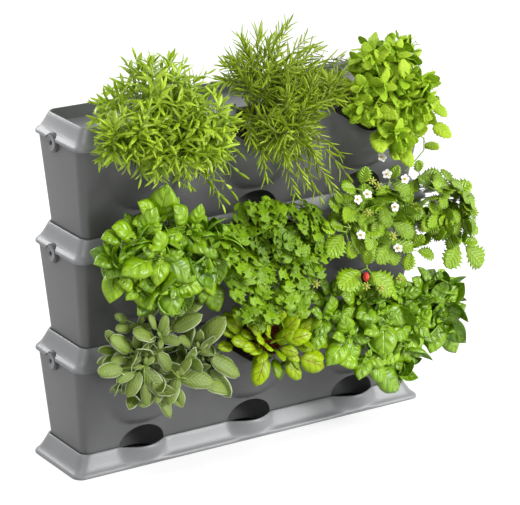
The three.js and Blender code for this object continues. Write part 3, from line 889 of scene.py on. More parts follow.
LEAVES = {
    "basil": leaf_shape("basil_leaf", egg(0.37, 0.5, 0.75, 0.4), 6, 9, dome=0.55, arch=0.07, fold=0.36,
                        thick=0.012),
    "sage": leaf_shape("sage_leaf", egg(0.24, 0.5, 0.95), 4, 8, dome=0.4, arch=0.04, fold=0.25, wave=0.08,
                       thick=0.022),
    "sorrel": leaf_shape("sorrel_leaf", egg(0.31, 0.5, 0.85), 4, 7, dome=0.3, arch=0.05, fold=0.15,
                         wave=0.12),
    "strawberry": leaf_shape("strawberry_leaflet", egg(0.36, 0.6, 1.2), 4, 14, dome=0.3, fold=0.42, wave=0.04,
                             tooth=0.2),
    "tarragon": leaf_shape("tarragon_leaf", egg(0.098, 0.65, 0.9), 2, 5, fold=0.35, thick=0.018),
    "rosemary": leaf_shape("rosemary_needle", egg(0.07, 0.45, 1.0), 2, 4, dome=0.5, thick=0.026),
    "lemon_balm": leaf_shape("lemon_balm_leaf", egg(0.39, 0.55, 0.72), 4, 12, dome=0.2, fold=0.15, wave=0.05,
                             tooth=0.08),
    "parsley": leaf_shape("parsley_leaflet", lobed, 4, 12, dome=0.1, fold=0.2, wave=0.25, tooth=0.1),
    "petal": leaf_shape("strawberry_petal", egg(0.44, 0.5, 1.15), 4, 5, dome=-0.3, thick=0.03),
    "sepal": leaf_shape("strawberry_sepal", egg(0.2, 0.8, 0.8), 2, 4, dome=0.1, thick=0.04),
}

# %% [markdown]
# ## Where a leaf may be
# A hanging leaf rests on the front of the tower. `front_of` gives the outermost surface at each
# place: the wall with its bulges, or the sloping collar with its mouths. Leaf points behind it are
# brought forward, except inside the mouth that the plant grows through.

# %% Keeping leaves clear of the mouldings
WALL_FOOT = 22 * MM
WALL_LEAN = TOP_INSET - 20.8 * MM
MOUTH_DEEP = -62 * MM
FAR_LEFT = -338 * MM
FAR_RIGHT = 425 * MM
FAR_FRONT = -172 * MM
HIGHEST = 680 * MM
OPEN_AIR = 1.0


def front_of(x, z):
    height = z - COLLAR
    tier = np.clip(np.floor(height / PITCH), 0, 2)
    above = height - tier * PITCH
    wall = -HALF_DEPTH + WALL_FOOT + WALL_LEAN * np.clip(above / BOX_HEIGHT, 0, 1)
    wall = wall - bulge(x, np.minimum(above, BOX_HEIGHT), 0.0)
    rise = (above - BOX_HEIGHT) / COLLAR
    collar_front = -HALF_DEPTH + FRONT_LEAN * np.clip((rise - 0.1) / 0.9, 0, 1) ** 0.7
    front = np.where(rise > -0.02, collar_front, wall)
    front = np.where(height < 0, -HALF_DEPTH + FRONT_LEAN * np.clip(z / COLLAR, 0, 1) - bow(x), front)
    return np.where(z > 3 * PITCH + COLLAR + 2 * MM, OPEN_AIR, front)


def keep_clear(points, middle, lip):
    x, y, z = points.T
    share = np.clip((x - middle) / HALF_POCKET, -1, 1)
    rim = lip - RIM_DROP * (1 + np.cos(np.pi * share)) / 2
    reach = HALF_POCKET - (HALF_POCKET - HALF_MOUTH) * np.clip((z - lip) / COLLAR, 0, 1) ** 0.5
    mouth = (np.abs(x - middle) < reach - 4 * MM) & (z > rim + 1 * MM) & (z < lip + COLLAR)
    front = front_of(x, z) - 1.5 * MM
    front = np.where(mouth & (y > MOUTH_DEEP), OPEN_AIR, front)
    mouth_front = -HALF_DEPTH + 8 * MM
    front = np.where(mouth & (y <= MOUTH_DEEP), np.maximum(front, mouth_front), front)
    y = np.maximum(np.minimum(y, front), FAR_FRONT)
    return np.stack([np.clip(x, FAR_LEFT, FAR_RIGHT), y, np.clip(z, 1.5 * MM, HIGHEST)], axis=1)


def unit(vector):
    return vector / max(np.linalg.norm(vector), 1e-9)


def arr(vector):
    return np.array(tuple(vector), dtype=float)


LIGHTWARD = unit(np.array([0.3, -0.6, 0.74]))
VIEWWARD = -arr(FORWARD)
print("Leaves are kept between", FAR_LEFT, "and", FAR_RIGHT, "m and behind", FAR_FRONT, "m")

# %% [markdown]
# ## What a plant collects
# A plant keeps the copies of its leaves and the paths of its stems. `spread` finds places all over
# its clumps, and `build` makes one mesh of all leaves and one of all stems.

# %% The Plant class
ROOT_Y = -38 * MM
ROOT_DEPTH = 16 * MM
BEND_Y = -88 * MM
BEND_RISE = 14 * MM
CLUMP_UNIT = 100 * MM


def arc(start, middle, end, steps):
    share = np.linspace(0, 1, steps)[:, None]
    return (1 - share) ** 2 * start + 2 * share * (1 - share) * middle + share ** 2 * end


class Plant:
    """Collects the leaves and stems of one plant, and turns them into two meshes."""

    def __init__(self, name, tier, pocket, seed, node=None):
        self.name = name
        self.node = node or name
        self.tier = TIERS[tier]
        self.middle = POCKETS[pocket]
        self.lip = PITCH * (tier + 1)
        self.rng = random.Random(seed)
        self.root = np.array([self.middle, ROOT_Y, self.lip - ROOT_DEPTH])
        self.points = []
        self.corners = []
        self.flat = []
        self.tones_and_shades = []
        self.count = 0
        self.stems = []

    def jitter(self, spread):
        return self.rng.uniform(-spread, spread)

    def leaf(self, kind, base, along, up, length, width, droop, tone_and_shade):
        shape = LEAVES[kind]
        along = unit(along)
        across = unit(np.cross(along, up))
        normal = np.cross(across, along)
        local = shape["points"]
        bend = max(droop, 1e-3)
        run = np.sin(bend * local[:, 1]) / bend
        fall = (1 - np.cos(bend * local[:, 1])) / bend
        out = local[:, 2] * np.cos(bend * local[:, 1]) - fall
        run = run + local[:, 2] * np.sin(bend * local[:, 1])
        placed = (base + length * (np.outer(local[:, 0] * width, across) + np.outer(run, along)
                                   + np.outer(out, normal)))
        self.points.append(placed)
        self.corners.append(shape["corners"] + self.count)
        self.flat.append(shape["flat"])
        self.tones_and_shades.append(np.full(len(placed), tone_and_shade))
        self.count += len(placed)

    def stem(self, path, thick, thin=None):
        self.stems.append((path, thick, thick if thin is None else thin))

    def over_rim(self, tip):
        """The bend of a stem that comes out through the pocket's mouth."""
        return np.array([self.middle + 0.35 * (tip[0] - self.middle), BEND_Y, self.lip + BEND_RISE])

    def spread(self, clumps, count, apart, low, high):
        """Places all over the plant's clumps, with the way outwards and the middle of the clump.
        A clump is its middle and its half sizes, in tenths of a metre from the pocket and the lip."""
        foot = np.array([self.middle, 0, self.lip])
        middles = [foot + np.array(at) * CLUMP_UNIT for at, half in clumps]
        halves = [np.array(half) * CLUMP_UNIT for at, half in clumps]
        weights = [half[0] * half[2] for half in halves]
        found = []
        for attempt in range(count * 40):
            if len(found) == count:
                break
            chosen = self.rng.choices(range(len(clumps)), weights)[0]
            ball = unit(np.array([self.rng.gauss(0, 1) for axis in range(3)]))
            place = middles[chosen] + halves[chosen] * ball * self.rng.uniform(low, high)
            inside = any(np.linalg.norm((place - middle) / half) < low * 0.85
                         for middle, half in zip(middles, halves))
            crowded = any(np.linalg.norm(place - other) < apart for other, way, heart in found)
            if ball[1] < 0.8 and not inside and not crowded:
                found.append((place, unit(ball / halves[chosen]), middles[chosen]))
        return found

    def build(self, leaf_material, stem_material):
        points = keep_clear(np.concatenate(self.points), self.middle, self.lip)
        corners = np.concatenate(self.corners).reshape(-1, 4)
        mesh = bpy.data.meshes.new(f"{self.name}_leaves")
        mesh.from_pydata(points.tolist(), [], corners.tolist())
        layer = mesh.uv_layers.new(name="UVMap")
        layer.data.foreach_set("uv", np.concatenate(self.flat).ravel())
        tone_and_shade = mesh.attributes.new("tone_and_shade", "FLOAT", "POINT")
        tone_and_shade.data.foreach_set("value", np.concatenate(self.tones_and_shades))
        mesh.polygons.foreach_set("use_smooth", [True] * len(mesh.polygons))
        leaves = bpy.data.objects.new(f"{self.name}_leaves", mesh)
        bpy.context.scene.collection.objects.link(leaves)
        leaves.data.materials.append(leaf_material)
        curve = bpy.data.curves.new(f"{self.name}_stems", "CURVE")
        curve.dimensions = "3D"
        curve.bevel_depth = 1 * MM
        curve.bevel_resolution = 1
        curve.use_fill_caps = True
        for path, thick, thin in self.stems:
            spline = curve.splines.new("POLY")
            spline.points.add(len(path) - 1)
            path = keep_clear(path, self.middle, self.lip)
            for place, (point, position) in enumerate(zip(spline.points, path)):
                share = place / (len(path) - 1)
                point.co = (*position, 1)
                point.radius = (thick + (thin - thick) * share) / MM
        stems = bpy.data.objects.new(f"{self.name}_stems", curve)
        bpy.context.scene.collection.objects.link(stems)
        work_on(stems)
        bpy.ops.object.convert(target="MESH")
        stems = bpy.context.object
        dress(stems, stem_material, 60)
        for piece in (leaves, stems):
            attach(piece, f"tier_{self.tier}")
        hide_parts(self.node)
        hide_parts(self.node)
        print(self.name, "has", len(self.tones_and_shades), "leaves,", len(self.stems), "stems and",
              len(mesh.polygons), "leaf faces")


print("Plants can grow in", len(POCKETS), "pockets on", len(TIERS), "tiers")

# %% [markdown]
# ## Leaf and stem finishes
# A leaf is drawn by its own UV map: u runs across it, so the midrib is where u is one half, and v
# runs from its base to its tip. Side veins are a wave of v that leans outwards. The same pattern
# feeds the bump, so the blade swells between the veins. Each leaf also carries a tone of its own,
# which differs at random and is also painted shade: it is low for the leaves inside a bush, so
# they are painted darker where shade falls.

# %% Leaf finishes
def leaf_finish(name, dark, light, vein, veins, vein_width, vein_share, puff, gloss, relief=0.8 * MM,
                fuzz=0.0, edge=None, blush=None, shine=0.22):
    finish = Finish(name)
    flat = finish.node("ShaderNodeSeparateXYZ", {}, {0: finish.node("ShaderNodeTexCoord", output=2)})
    across = (Value(finish, flat.socket) - 0.5).size()
    along = Value(finish, flat.socket.node.outputs[1])
    tone_and_shade = Value(finish, finish.node("ShaderNodeAttribute", {"attribute_name": "tone_and_shade"}, output=2).socket)
    wave = ((along - across * 0.55) * (veins * 2 * math.pi)).math("COSINE")
    between = (1 - wave) * 0.5
    side_vein = 1 - between.step(0.0, vein_width * 2)
    midrib = 1 - across.step(0.0, 0.045)
    pattern = midrib.math("MAXIMUM", side_vein * across.step(0.5, 0.3) * 0.6)
    blotch = finish.noise(60, 2, 0.5)
    # The leaf's tone differs at random and is also painted shade: it is low for the leaves inside a bush.
    tone = tone_and_shade * 0.7 + blotch.step(0.3, 0.7) * 0.2 + along * 0.1
    colour = finish.mix(tone, dark, light)
    if edge:
        colour = finish.mix(across.step(0.4, 0.5) * 0.8, colour, edge)
    if blush:
        colour = finish.mix(pattern * tone_and_shade.step(0.2, 0.6) * 0.9, colour, blush)
    else:
        colour = finish.mix(pattern * vein_share, colour, vein)
    height = between * across.step(0.5, 0.25) * puff - midrib * 0.5
    if fuzz:
        height = height + finish.noise(1500, 2, 0.6) * fuzz
    finish.surface(
        Base_Color=colour,
        Roughness=blotch * 0.12 + gloss,
        Specular_IOR_Level=shine,
        Normal=finish.bump(height, 0.5, relief),
    )
    return finish.material


def stem_finish(name, dark, light):
    finish = Finish(name)
    streak = finish.noise(220, 3, 0.6)
    finish.surface(Base_Color=finish.mix(streak.step(0.35, 0.65), dark, light),
                   Roughness=streak * 0.1 + 0.55, Normal=finish.bump(streak, 0.3, 0.6 * MM))
    return finish.material


LEAF_FINISH = {
    "tarragon": leaf_finish("tarragon_green", (0.17, 0.28, 0.004), (0.5, 0.7, 0.03), (0.6, 0.76, 0.22),
                            veins=3, vein_width=0.03, vein_share=0.3, puff=0.1, gloss=0.26, shine=0.4),
    "rosemary": leaf_finish("rosemary_green", (0.14, 0.21, 0.004), (0.42, 0.58, 0.024), (0.56, 0.66, 0.26),
                            veins=1, vein_width=0.02, vein_share=0.3, puff=0.1, gloss=0.28, shine=0.35),
    "lemon_balm": leaf_finish("lemon_balm_green", (0.2, 0.38, 0.002), (0.4, 0.56, 0.024), (0.52, 0.66, 0.16),
                              veins=5, vein_width=0.12, vein_share=0.3, puff=0.5, gloss=0.46,
                              relief=1.5 * MM),
    "basil_middle": leaf_finish("basil_green", (0.055, 0.16, 0.001), (0.32, 0.54, 0.004), (0.44, 0.64, 0.05),
                                veins=4, vein_width=0.08, vein_share=0.3, puff=0.8, gloss=0.26,
                                relief=3 * MM, shine=0.45),
    "parsley": leaf_finish("parsley_green", (0.04, 0.1, 0.0005), (0.21, 0.38, 0.002), (0.32, 0.48, 0.03),
                           veins=3, vein_width=0.1, vein_share=0.3, puff=0.5, gloss=0.32, relief=1 * MM),
    "strawberry": leaf_finish("strawberry_green", (0.065, 0.14, 0.001), (0.27, 0.46, 0.002),
                              (0.46, 0.62, 0.06), veins=7, vein_width=0.1, vein_share=0.5, puff=1.0,
                              gloss=0.26, relief=2.5 * MM, shine=0.4),
    "sage": leaf_finish("sage_green", (0.065, 0.11, 0.003), (0.2, 0.29, 0.03), (0.34, 0.44, 0.12),
                        veins=9, vein_width=0.12, vein_share=0.4, puff=0.6, gloss=0.4, relief=1 * MM,
                        fuzz=0.6, edge=(0.6, 0.68, 0.42), shine=0.5),
    "sorrel": leaf_finish("sorrel_green", (0.11, 0.21, 0.001), (0.37, 0.56, 0.002), (0.5, 0.6, 0.05),
                          veins=4, vein_width=0.07, vein_share=0.5, puff=0.4, gloss=0.28,
                          blush=(0.16, 0.025, 0.008)),
    "basil_lower": leaf_finish("basil_bright_green", (0.045, 0.13, 0.001), (0.27, 0.48, 0.003),
                               (0.4, 0.6, 0.05), veins=4, vein_width=0.08, vein_share=0.3, puff=0.8,
                               gloss=0.26, relief=3 * MM, shine=0.45),
}
GREEN_STEM = stem_finish("green_stem", (0.16, 0.3, 0.02), (0.34, 0.48, 0.06))
WOODY_STEM = stem_finish("woody_stem", (0.12, 0.09, 0.04), (0.3, 0.26, 0.1))
RED_STEM = stem_finish("red_stem", (0.16, 0.02, 0.01), (0.3, 0.08, 0.02))
print("Made", len(LEAF_FINISH), "leaf finishes")

# %% [markdown]
# ## Shoots, rosettes and single leaves
# Leaves stand on a shoot one by one in a spiral (tarragon) or in pairs that turn round it
# (rosemary). They open wide low down and close towards the tip. A rosette is crossing pairs round
# the tip of a shoot. `aimed_leaf` lays one leaf where the photograph shows it, and `fill` covers
# the clumps of a plant with small shoots or rosettes, so the bush is full from every side.

# %% Shoots
def shoot(plant, path, kind, start, nodes, pair, turn, length, tip_length, wide, narrow, droop, thick, lift,
          tone_and_shade):
    """A stem with `pair` leaves at each node. They open from wide at its foot to narrow at its tip,
    in degrees, and lift is how far their faces turn towards the light."""
    steps = len(path)
    plant.stem(path, thick, thick * 0.5)
    side = unit(np.cross(path[-1] - path[0], np.array([0.13, 0.4, 0.9])))
    first = plant.rng.uniform(0, 360)
    for node in range(nodes):
        share = node / max(nodes - 1, 1)
        place = (start + (1 - start) * share) * (steps - 1)
        low = min(int(place), steps - 2)
        base = path[low] + (path[low + 1] - path[low]) * (place - low)
        tangent = unit(path[low + 1] - path[low])
        one = unit(np.cross(tangent, side))
        two = np.cross(tangent, one)
        for leaf in range(pair):
            angle = math.radians(first + node * turn + leaf * 360 / pair + plant.jitter(14))
            outward = math.cos(angle) * one + math.sin(angle) * two
            opening = math.radians(wide + (narrow - wide) * share ** 1.3 + plant.jitter(9))
            along = math.cos(opening) * tangent + math.sin(opening) * outward
            up = unit(tangent - along * np.dot(tangent, along))
            up = unit(up * (1 - lift) + LIGHTWARD * lift)
            size = (length + (tip_length - length) * share ** 1.5) * (1 + plant.jitter(0.16))
            plant.leaf(kind, base, along, up, size, 1.0, droop + plant.jitter(0.15), plant.rng.uniform(*tone_and_shade))


def rosette(plant, tip, outward, kind, sizes, reach, wide=80, narrow=30, droop=0.5, lift=0.25,
            tone_and_shade=(0.0, 1.0)):
    """Crossing pairs of leaves round the tip of a shoot that faces outwards."""
    side = unit(np.cross(outward, np.array([0.3, 0.1, 0.9])))
    other = np.cross(outward, side)
    first = plant.rng.uniform(0, 90)
    for pair, size in enumerate(sizes):
        share = pair / max(len(sizes) - 1, 1)
        base = tip - outward * reach * 0.5 * (1 - share)
        for leaf in range(2):
            angle = math.radians(first + pair * 90 + leaf * 180 + plant.jitter(14))
            away = math.cos(angle) * side + math.sin(angle) * other
            opening = math.radians(wide + (narrow - wide) * share + plant.jitter(8))
            along = math.cos(opening) * outward + math.sin(opening) * away
            up = unit(outward - along * np.dot(outward, along))
            up = unit(up * (1 - lift) + LIGHTWARD * lift)
            plant.leaf(kind, base + along * 2 * MM, along, up, size * MM * (1 + plant.jitter(0.12)), 1.0,
                       droop + plant.jitter(0.15), plant.rng.uniform(*tone_and_shade))


def aimed_leaf(plant, kind, heart, middle, y, length, width, droop, near, tone_and_shade):
    """A leaf whose middle shows at one pixel and that points away from the pixel of its heart."""
    centre = arr(sight(*middle, y))
    start = arr(sight(*heart, y + near))
    along = unit(centre - start + np.array([0, -0.12, 0.03]) * length)
    stray = np.array([plant.jitter(0.25), 0, plant.jitter(0.25)])
    up = unit(VIEWWARD * 0.5 + LIGHTWARD * 0.5 + stray)
    base = centre - along * length * 0.5
    plant.leaf(kind, base, along, up, length, width, droop, tone_and_shade)
    return base


def stalks_to(plant, places, thick):
    """Stems from the soil through the pocket's mouth to each of the places."""
    for place in places:
        plant.stem(arc(plant.root, plant.over_rim(place), place, 9), thick, thick * 0.6)


def fill(plant, clumps, count, apart, make, low, high):
    """Calls make(place, outward) all over the clumps, and draws a stem to every fourth place."""
    places = plant.spread(clumps, count, apart, low, high)
    for number, (place, outward, heart) in enumerate(places):
        make(place, outward)
        if number % 4 == 0:
            stalks_to(plant, [place], 0.9 * MM)
    print(plant.name, "is filled at", len(places), "places")


print("Shoots and rosettes are ready")

# %% [markdown]
# ## Upper tier: tarragon
# Tarragon is a full dome of thin shoots with narrow pointed leaves, and it sags over the rim. The
# pixel table lists the tips that stick out of the dome, with how far forward each one is.

# %% Tarragon
def open_air(plant, tip, height):
    """The path of a shoot that rises first and then leans over."""
    low = -44 * MM if tip[1] > -60 * MM else -58 * MM
    middle = np.array([plant.middle + 0.3 * (tip[0] - plant.middle), low, plant.lip + height])
    return arc(plant.root, middle, tip, 12)


def sprig(plant, place, outward, reach, rise, stray):
    """The path of a short side shoot that ends at the place and grows outwards and up."""
    height = np.clip((place[2] - plant.lip) / (60 * MM), -0.6, 1)
    ahead = unit(outward + np.array([plant.jitter(stray), plant.jitter(stray * 0.7), rise * height]))
    foot = place - ahead * reach
    return arc(foot, foot + (place - foot) * 0.5 + np.array([0, 0, 0.1]) * reach, place, 6)


TARRAGON_CLUMPS = [((0.04, -0.74, 0.76), (0.64, 0.5, 0.46)), ((-0.58, -1.16, 0.32), (0.6, 0.3, 0.54)),
                   ((0.6, -1.14, 0.36), (0.58, 0.3, 0.46)), ((0.02, -1.26, -0.02), (0.5, 0.24, 0.42)),
                   ((0.66, -1.18, -0.14), (0.4, 0.22, 0.34))]
TARRAGON_TIPS = [
    (152, 60, -25), (128, 66, -35), (141, 70, -40), (184, 64, -25), (207, 74, -45), (121, 84, -50),
    (101, 101, -65), (93, 121, -80), (98, 136, -95), (101, 160, -110), (126, 168, -125), (141, 178, -130),
    (158, 180, -130), (180, 182, -128), (221, 196, -118), (238, 172, -105), (236, 151, -95),
    (248, 128, -75), (230, 106, -55), (209, 92, -35), (216, 86, -50), (136, 58, -40), (168, 66, -30),
    (106, 112, -80), (112, 92, -60), (190, 186, -125), (222, 204, -115), (230, 190, -115), (96, 105, -70),
    (172, 58, -30), (160, 76, -40),
]
tarragon = Plant("tarragon", 2, 0, 11)


def tarragon_sprig(place, outward):
    path = sprig(tarragon, place, outward, 38 * MM, 1.0, 0.6)
    # The filling sprigs reach down to the lowest tone, which is painted shade inside the dome.
    shoot(tarragon, path, "tarragon", start=0.1, nodes=13, pair=1, turn=137.5, length=33 * MM,
          tip_length=21 * MM, wide=74, narrow=28, droop=0.3, thick=0.8 * MM, lift=0.4, tone_and_shade=(0.0, 1.0))


fill(tarragon, TARRAGON_CLUMPS, 96, 14 * MM, tarragon_sprig, 0.55, 1.08)
for u, v, y in TARRAGON_TIPS:
    path = open_air(tarragon, arr(sight(u, v, y * MM)), (72 if v < 120 else 48) * MM)
    shoot(tarragon, path, "tarragon", start=0.6, nodes=12, pair=1, turn=137.5, length=31 * MM,
          tip_length=19 * MM, wide=60, narrow=22, droop=0.4, thick=0.9 * MM, lift=0.4, tone_and_shade=(0.3, 1.0))
tarragon.build(LEAF_FINISH["tarragon"], GREEN_STEM)

# %% [markdown]
# ## Upper tier: rosemary
# Rosemary has stiff woody stems with long narrow leaves all round. It is airy at the top, where
# single branches stand up, and one branch leans far to the right.

# %% Rosemary
ROSEMARY_CLUMPS = [((0.05, -0.66, 0.7), (0.56, 0.42, 0.42)), ((0.2, -1.18, 0.1), (0.64, 0.3, 0.68)),
                   ((0.8, -0.86, 0.5), (0.5, 0.36, 0.36))]
ROSEMARY_TIPS = [
    (288, 25, -25), (279, 33, -30), (258, 34, -25), (242, 40, -25), (305, 40, -15), (312, 46, -20),
    (320, 50, -15), (233, 60, -25), (222, 82, -50), (226, 66, -40), (247, 52, -30), (268, 45, -30),
    (340, 58, -20), (352, 66, -20), (335, 74, -30), (345, 84, -35), (364, 106, -112), (396, 98, -120),
    (412, 104, -122), (425, 110, -124), (384, 104, -120), (400, 112, -124), (368, 96, -110),
    (352, 100, -60), (266, 176, -125), (295, 192, -128), (319, 196, -130), (333, 188, -130),
    (345, 172, -125), (305, 182, -130), (338, 152, -110), (250, 140, -110), (262, 158, -120),
    (328, 180, -130), (300, 60, -30),
]
rosemary = Plant("rosemary", 2, 1, 12)


def rosemary_sprig(place, outward):
    path = sprig(rosemary, place, outward, 42 * MM, 1.0, 0.9)
    # The filling sprigs reach down to the lowest tone, which is painted shade inside the bush.
    shoot(rosemary, path, "rosemary", start=0.1, nodes=10, pair=2, turn=97, length=30 * MM,
          tip_length=21 * MM, wide=58, narrow=20, droop=0.3, thick=1 * MM, lift=0.35, tone_and_shade=(0.0, 1.0))


fill(rosemary, ROSEMARY_CLUMPS, 58, 18 * MM, rosemary_sprig, 0.5, 1.02)
for u, v, y in ROSEMARY_TIPS:
    path = open_air(rosemary, arr(sight(u, v, y * MM)), (78 if v < 115 else 42) * MM)
    shoot(rosemary, path, "rosemary", start=0.42, nodes=15, pair=2, turn=97, length=30 * MM,
          tip_length=22 * MM, wide=54, narrow=18, droop=0.3, thick=1.3 * MM, lift=0.35, tone_and_shade=(0.4, 1.0))
rosemary.build(LEAF_FINISH["rosemary"], WOODY_STEM)

# %% [markdown]
# ## Upper tier: lemon balm
# Lemon balm is a bright bush with round scalloped leaves in crossing pairs, and one thin shoot that
# trails down on the right.

# %% Lemon balm
LEMON_BALM_CLUMPS = [((0.22, -0.76, 0.7), (0.6, 0.48, 0.4)), ((-0.22, -1.1, 0.3), (0.5, 0.28, 0.5)),
                     ((0.42, -1.16, 0.2), (0.5, 0.3, 0.54)), ((0.14, -1.24, -0.34), (0.42, 0.22, 0.34))]
LEMON_BALM_LEAVES = [
    (380, 44, 22, -40), (391, 38, 17, -40), (407, 47, 19, -30), (417, 51, 13, -30), (370, 55, 25, -45),
    (385, 53, 21, -50), (392, 61, 18, -55), (356, 70, 30, -60), (375, 70, 30, -75), (390, 69, 24, -70),
    (410, 66, 24, -50), (395, 83, 26, -80), (408, 80, 20, -70), (420, 83, 24, -60), (421, 95, 24, -65),
    (380, 86, 28, -90), (365, 86, 26, -80), (362, 99, 24, -90), (376, 99, 24, -105), (441, 110, 21, -70),
    (443, 130, 26, -75), (415, 114, 24, -80), (404, 120, 24, -90), (380, 141, 30, -125),
    (400, 140, 26, -115), (407, 157, 26, -110), (432, 145, 22, -90), (390, 122, 24, -115),
    (392, 105, 26, -110), (418, 130, 24, -95), (372, 115, 24, -110), (396, 152, 24, -120),
    (425, 120, 20, -80), (416, 40, 12, -30), (350, 84, 22, -75), (384, 128, 24, -125), (410, 98, 26, -85),
    (433, 100, 20, -60),
]
lemon_balm = Plant("lemon_balm", 2, 2, 13)


def lemon_balm_tuft(place, outward):
    # The filling tufts take the full range of tone, down to painted shade.
    rosette(lemon_balm, place - outward * 8 * MM, outward, "lemon_balm", (31, 27, 17), reach=32 * MM,
            wide=84, narrow=30, droop=0.25, lift=0.45)


fill(lemon_balm, LEMON_BALM_CLUMPS, 64, 18 * MM, lemon_balm_tuft, 0.55, 1.02)
for u, v, size, y in LEMON_BALM_LEAVES:
    heart = (u + (392 - u) * 0.2 + lemon_balm.jitter(5), v + (110 - v) * 0.12 + lemon_balm.jitter(6))
    base = aimed_leaf(lemon_balm, "lemon_balm", heart, (u, v), y * MM, size * 1.35 * MM, 1.0, 0.3, 8 * MM,
                      lemon_balm.rng.uniform(0.4, 1.0))
    lemon_balm.stem(open_air(lemon_balm, base, 45 * MM), 0.9 * MM, 0.5 * MM)
LEMON_BALM_TRAIL = [(400, 128, -100), (424, 138, -110), (424, 150, -112), (414, 162, -112), (405, 171, -112)]
trail = [arr(sight(u, v, y * MM)) for u, v, y in LEMON_BALM_TRAIL]
lemon_balm.stem(np.array(trail), 1.2 * MM, 0.9 * MM)
lemon_balm.build(LEAF_FINISH["lemon_balm"], GREEN_STEM)

# %% [markdown]
# ## Middle tier: basil
# Basil carries big domed leaves in crossing pairs. The large leaves in front are laid one by one
# over a filling of rosettes that are set back and painted darker, as shade. Each row is a heart, its
# distance to the front, and its leaves, each with the pixel of its middle and its length in millimetres.

# %% Basil in the middle tier
def hearts(plant, kind, table, droop, scale, bud=14):
    """Lays the leaves of each heart in the table, and closes it with a bud in its middle."""
    near = 6 * MM
    for (u, v), y, leaves in table:
        centre = arr(sight(u, v, y * MM + near * 0.5))
        stalks_to(plant, [centre], 1.5 * MM)
        for x, z, length in leaves:
            base = aimed_leaf(plant, kind, (u, v), (x, z), y * MM, length * scale * MM,
                              1 + plant.jitter(0.08), droop + plant.jitter(0.12), near,
                              plant.rng.uniform(0.3, 1.0))
            plant.stem(np.array([centre, base]), 0.9 * MM)
        if bud:
            outward = unit(VIEWWARD + LIGHTWARD)
            rosette(plant, centre + outward * 4 * MM, outward, kind, (bud, bud * 0.7), wide=60, narrow=25,
                    reach=8 * MM, tone_and_shade=(0.5, 1.0))


def fill_dark(plant, kind, clumps, count, apart, sizes, back, reach, shade, low, high):
    """Fills the clumps with rosettes that stand back from the leaves in front, painted dark as shade."""
    def make(place, outward):
        rosette(plant, place - outward * back, outward, kind, sizes, reach=reach, tone_and_shade=(0.0, shade))

    fill(plant, clumps, count, apart, make, low, high)


BASIL_MIDDLE_CLUMPS = [((-0.45, -1.2, 0.2), (0.78, 0.32, 0.58)), ((0.55, -1.18, 0.12), (0.62, 0.3, 0.56)),
                       ((-0.1, -1.26, -0.3), (0.56, 0.26, 0.42))]
BASIL_MIDDLE = [
    ((162, 257), -148, [(137, 266, 46), (159, 271, 38), (185, 271, 50), (161, 243, 36), (150, 251, 26),
                        (174, 254, 26)]),
    ((192, 230), -132, [(182, 215, 38), (198, 215, 30), (195, 234, 24), (212, 245, 48), (174, 235, 26),
                        (181, 240, 24)]),
    ((140, 238), -128, [(125, 230, 38), (149, 232, 36), (129, 246, 34), (112, 237, 30), (150, 220, 34)]),
    ((225, 258), -125, [(217, 262, 42), (234, 275, 38), (226, 237, 34), (206, 252, 30), (236, 258, 24)]),
    ((122, 258), -126, [(105, 260, 32), (114, 268, 34), (111, 247, 26), (126, 276, 26), (113, 288, 38)]),
    ((160, 222), -118, [(163, 202, 48), (150, 210, 42), (170, 208, 34), (142, 222, 30)]),
    ((172, 284), -142, [(172, 298, 46), (150, 284, 34), (194, 286, 32), (186, 290, 28), (163, 288, 26)]),
    ((204, 270), -132, [(210, 283, 36), (205, 266, 30), (198, 282, 30), (216, 299, 42), (203, 294, 26)]),
    ((140, 284), -134, [(145, 296, 40), (128, 282, 32), (150, 300, 34), (133, 292, 28)]),
    ((216, 238), -112, [(215, 226, 28), (205, 222, 26), (228, 232, 26)]),
]
basil_middle = Plant("basil_middle", 1, 0, 21)
fill_dark(basil_middle, "basil", BASIL_MIDDLE_CLUMPS, 40, 23 * MM, sizes=(44, 38, 24), back=20 * MM,
          reach=20 * MM, shade=0.6, low=0.66, high=0.95)
hearts(basil_middle, "basil", BASIL_MIDDLE, droop=0.35, scale=1.22)
basil_middle.build(LEAF_FINISH["basil_middle"], GREEN_STEM)

# %% [markdown]
# ## Middle tier: parsley
# Each parsley leaf is a thin stalk that ends in five small fans with cut edges.

# %% Parsley
def palm(plant, outward, light, stray, lean):
    """How a leaf of several leaflets faces, how it points, and its side."""
    face = unit(outward + LIGHTWARD * light + np.array([plant.jitter(stray), 0, plant.jitter(stray - 0.1)]))
    ahead = unit(np.cross(face, np.array([plant.jitter(1), 0.3, plant.jitter(1)])) + outward * lean)
    return face, ahead, unit(np.cross(ahead, face))


def parsley_fan(place, outward, size=1.0, tone_and_shade=(0.0, 0.7)):
    """Five fans on one stalk. The filling ones are smaller than those in front, and painted darker as shade.
    """
    face, ahead, side = palm(parsley, outward, 1.0, 0.5, 0.25)
    shade = parsley.rng.uniform(*tone_and_shade)
    for angle, length in ((0, 23), (-52, 21), (52, 21), (-98, 17), (98, 17)):
        turn = math.radians(angle + parsley.jitter(9))
        along = math.cos(turn) * ahead + math.sin(turn) * side
        up = unit(face + np.array([parsley.jitter(0.25), 0, parsley.jitter(0.25)]))
        length = length * size * MM * (1 + parsley.jitter(0.15))
        parsley.leaf("parsley", place + along * 1.5 * MM, along, up, length, 1.0, 0.5,
                     np.clip(shade + parsley.jitter(0.15), 0, 1))


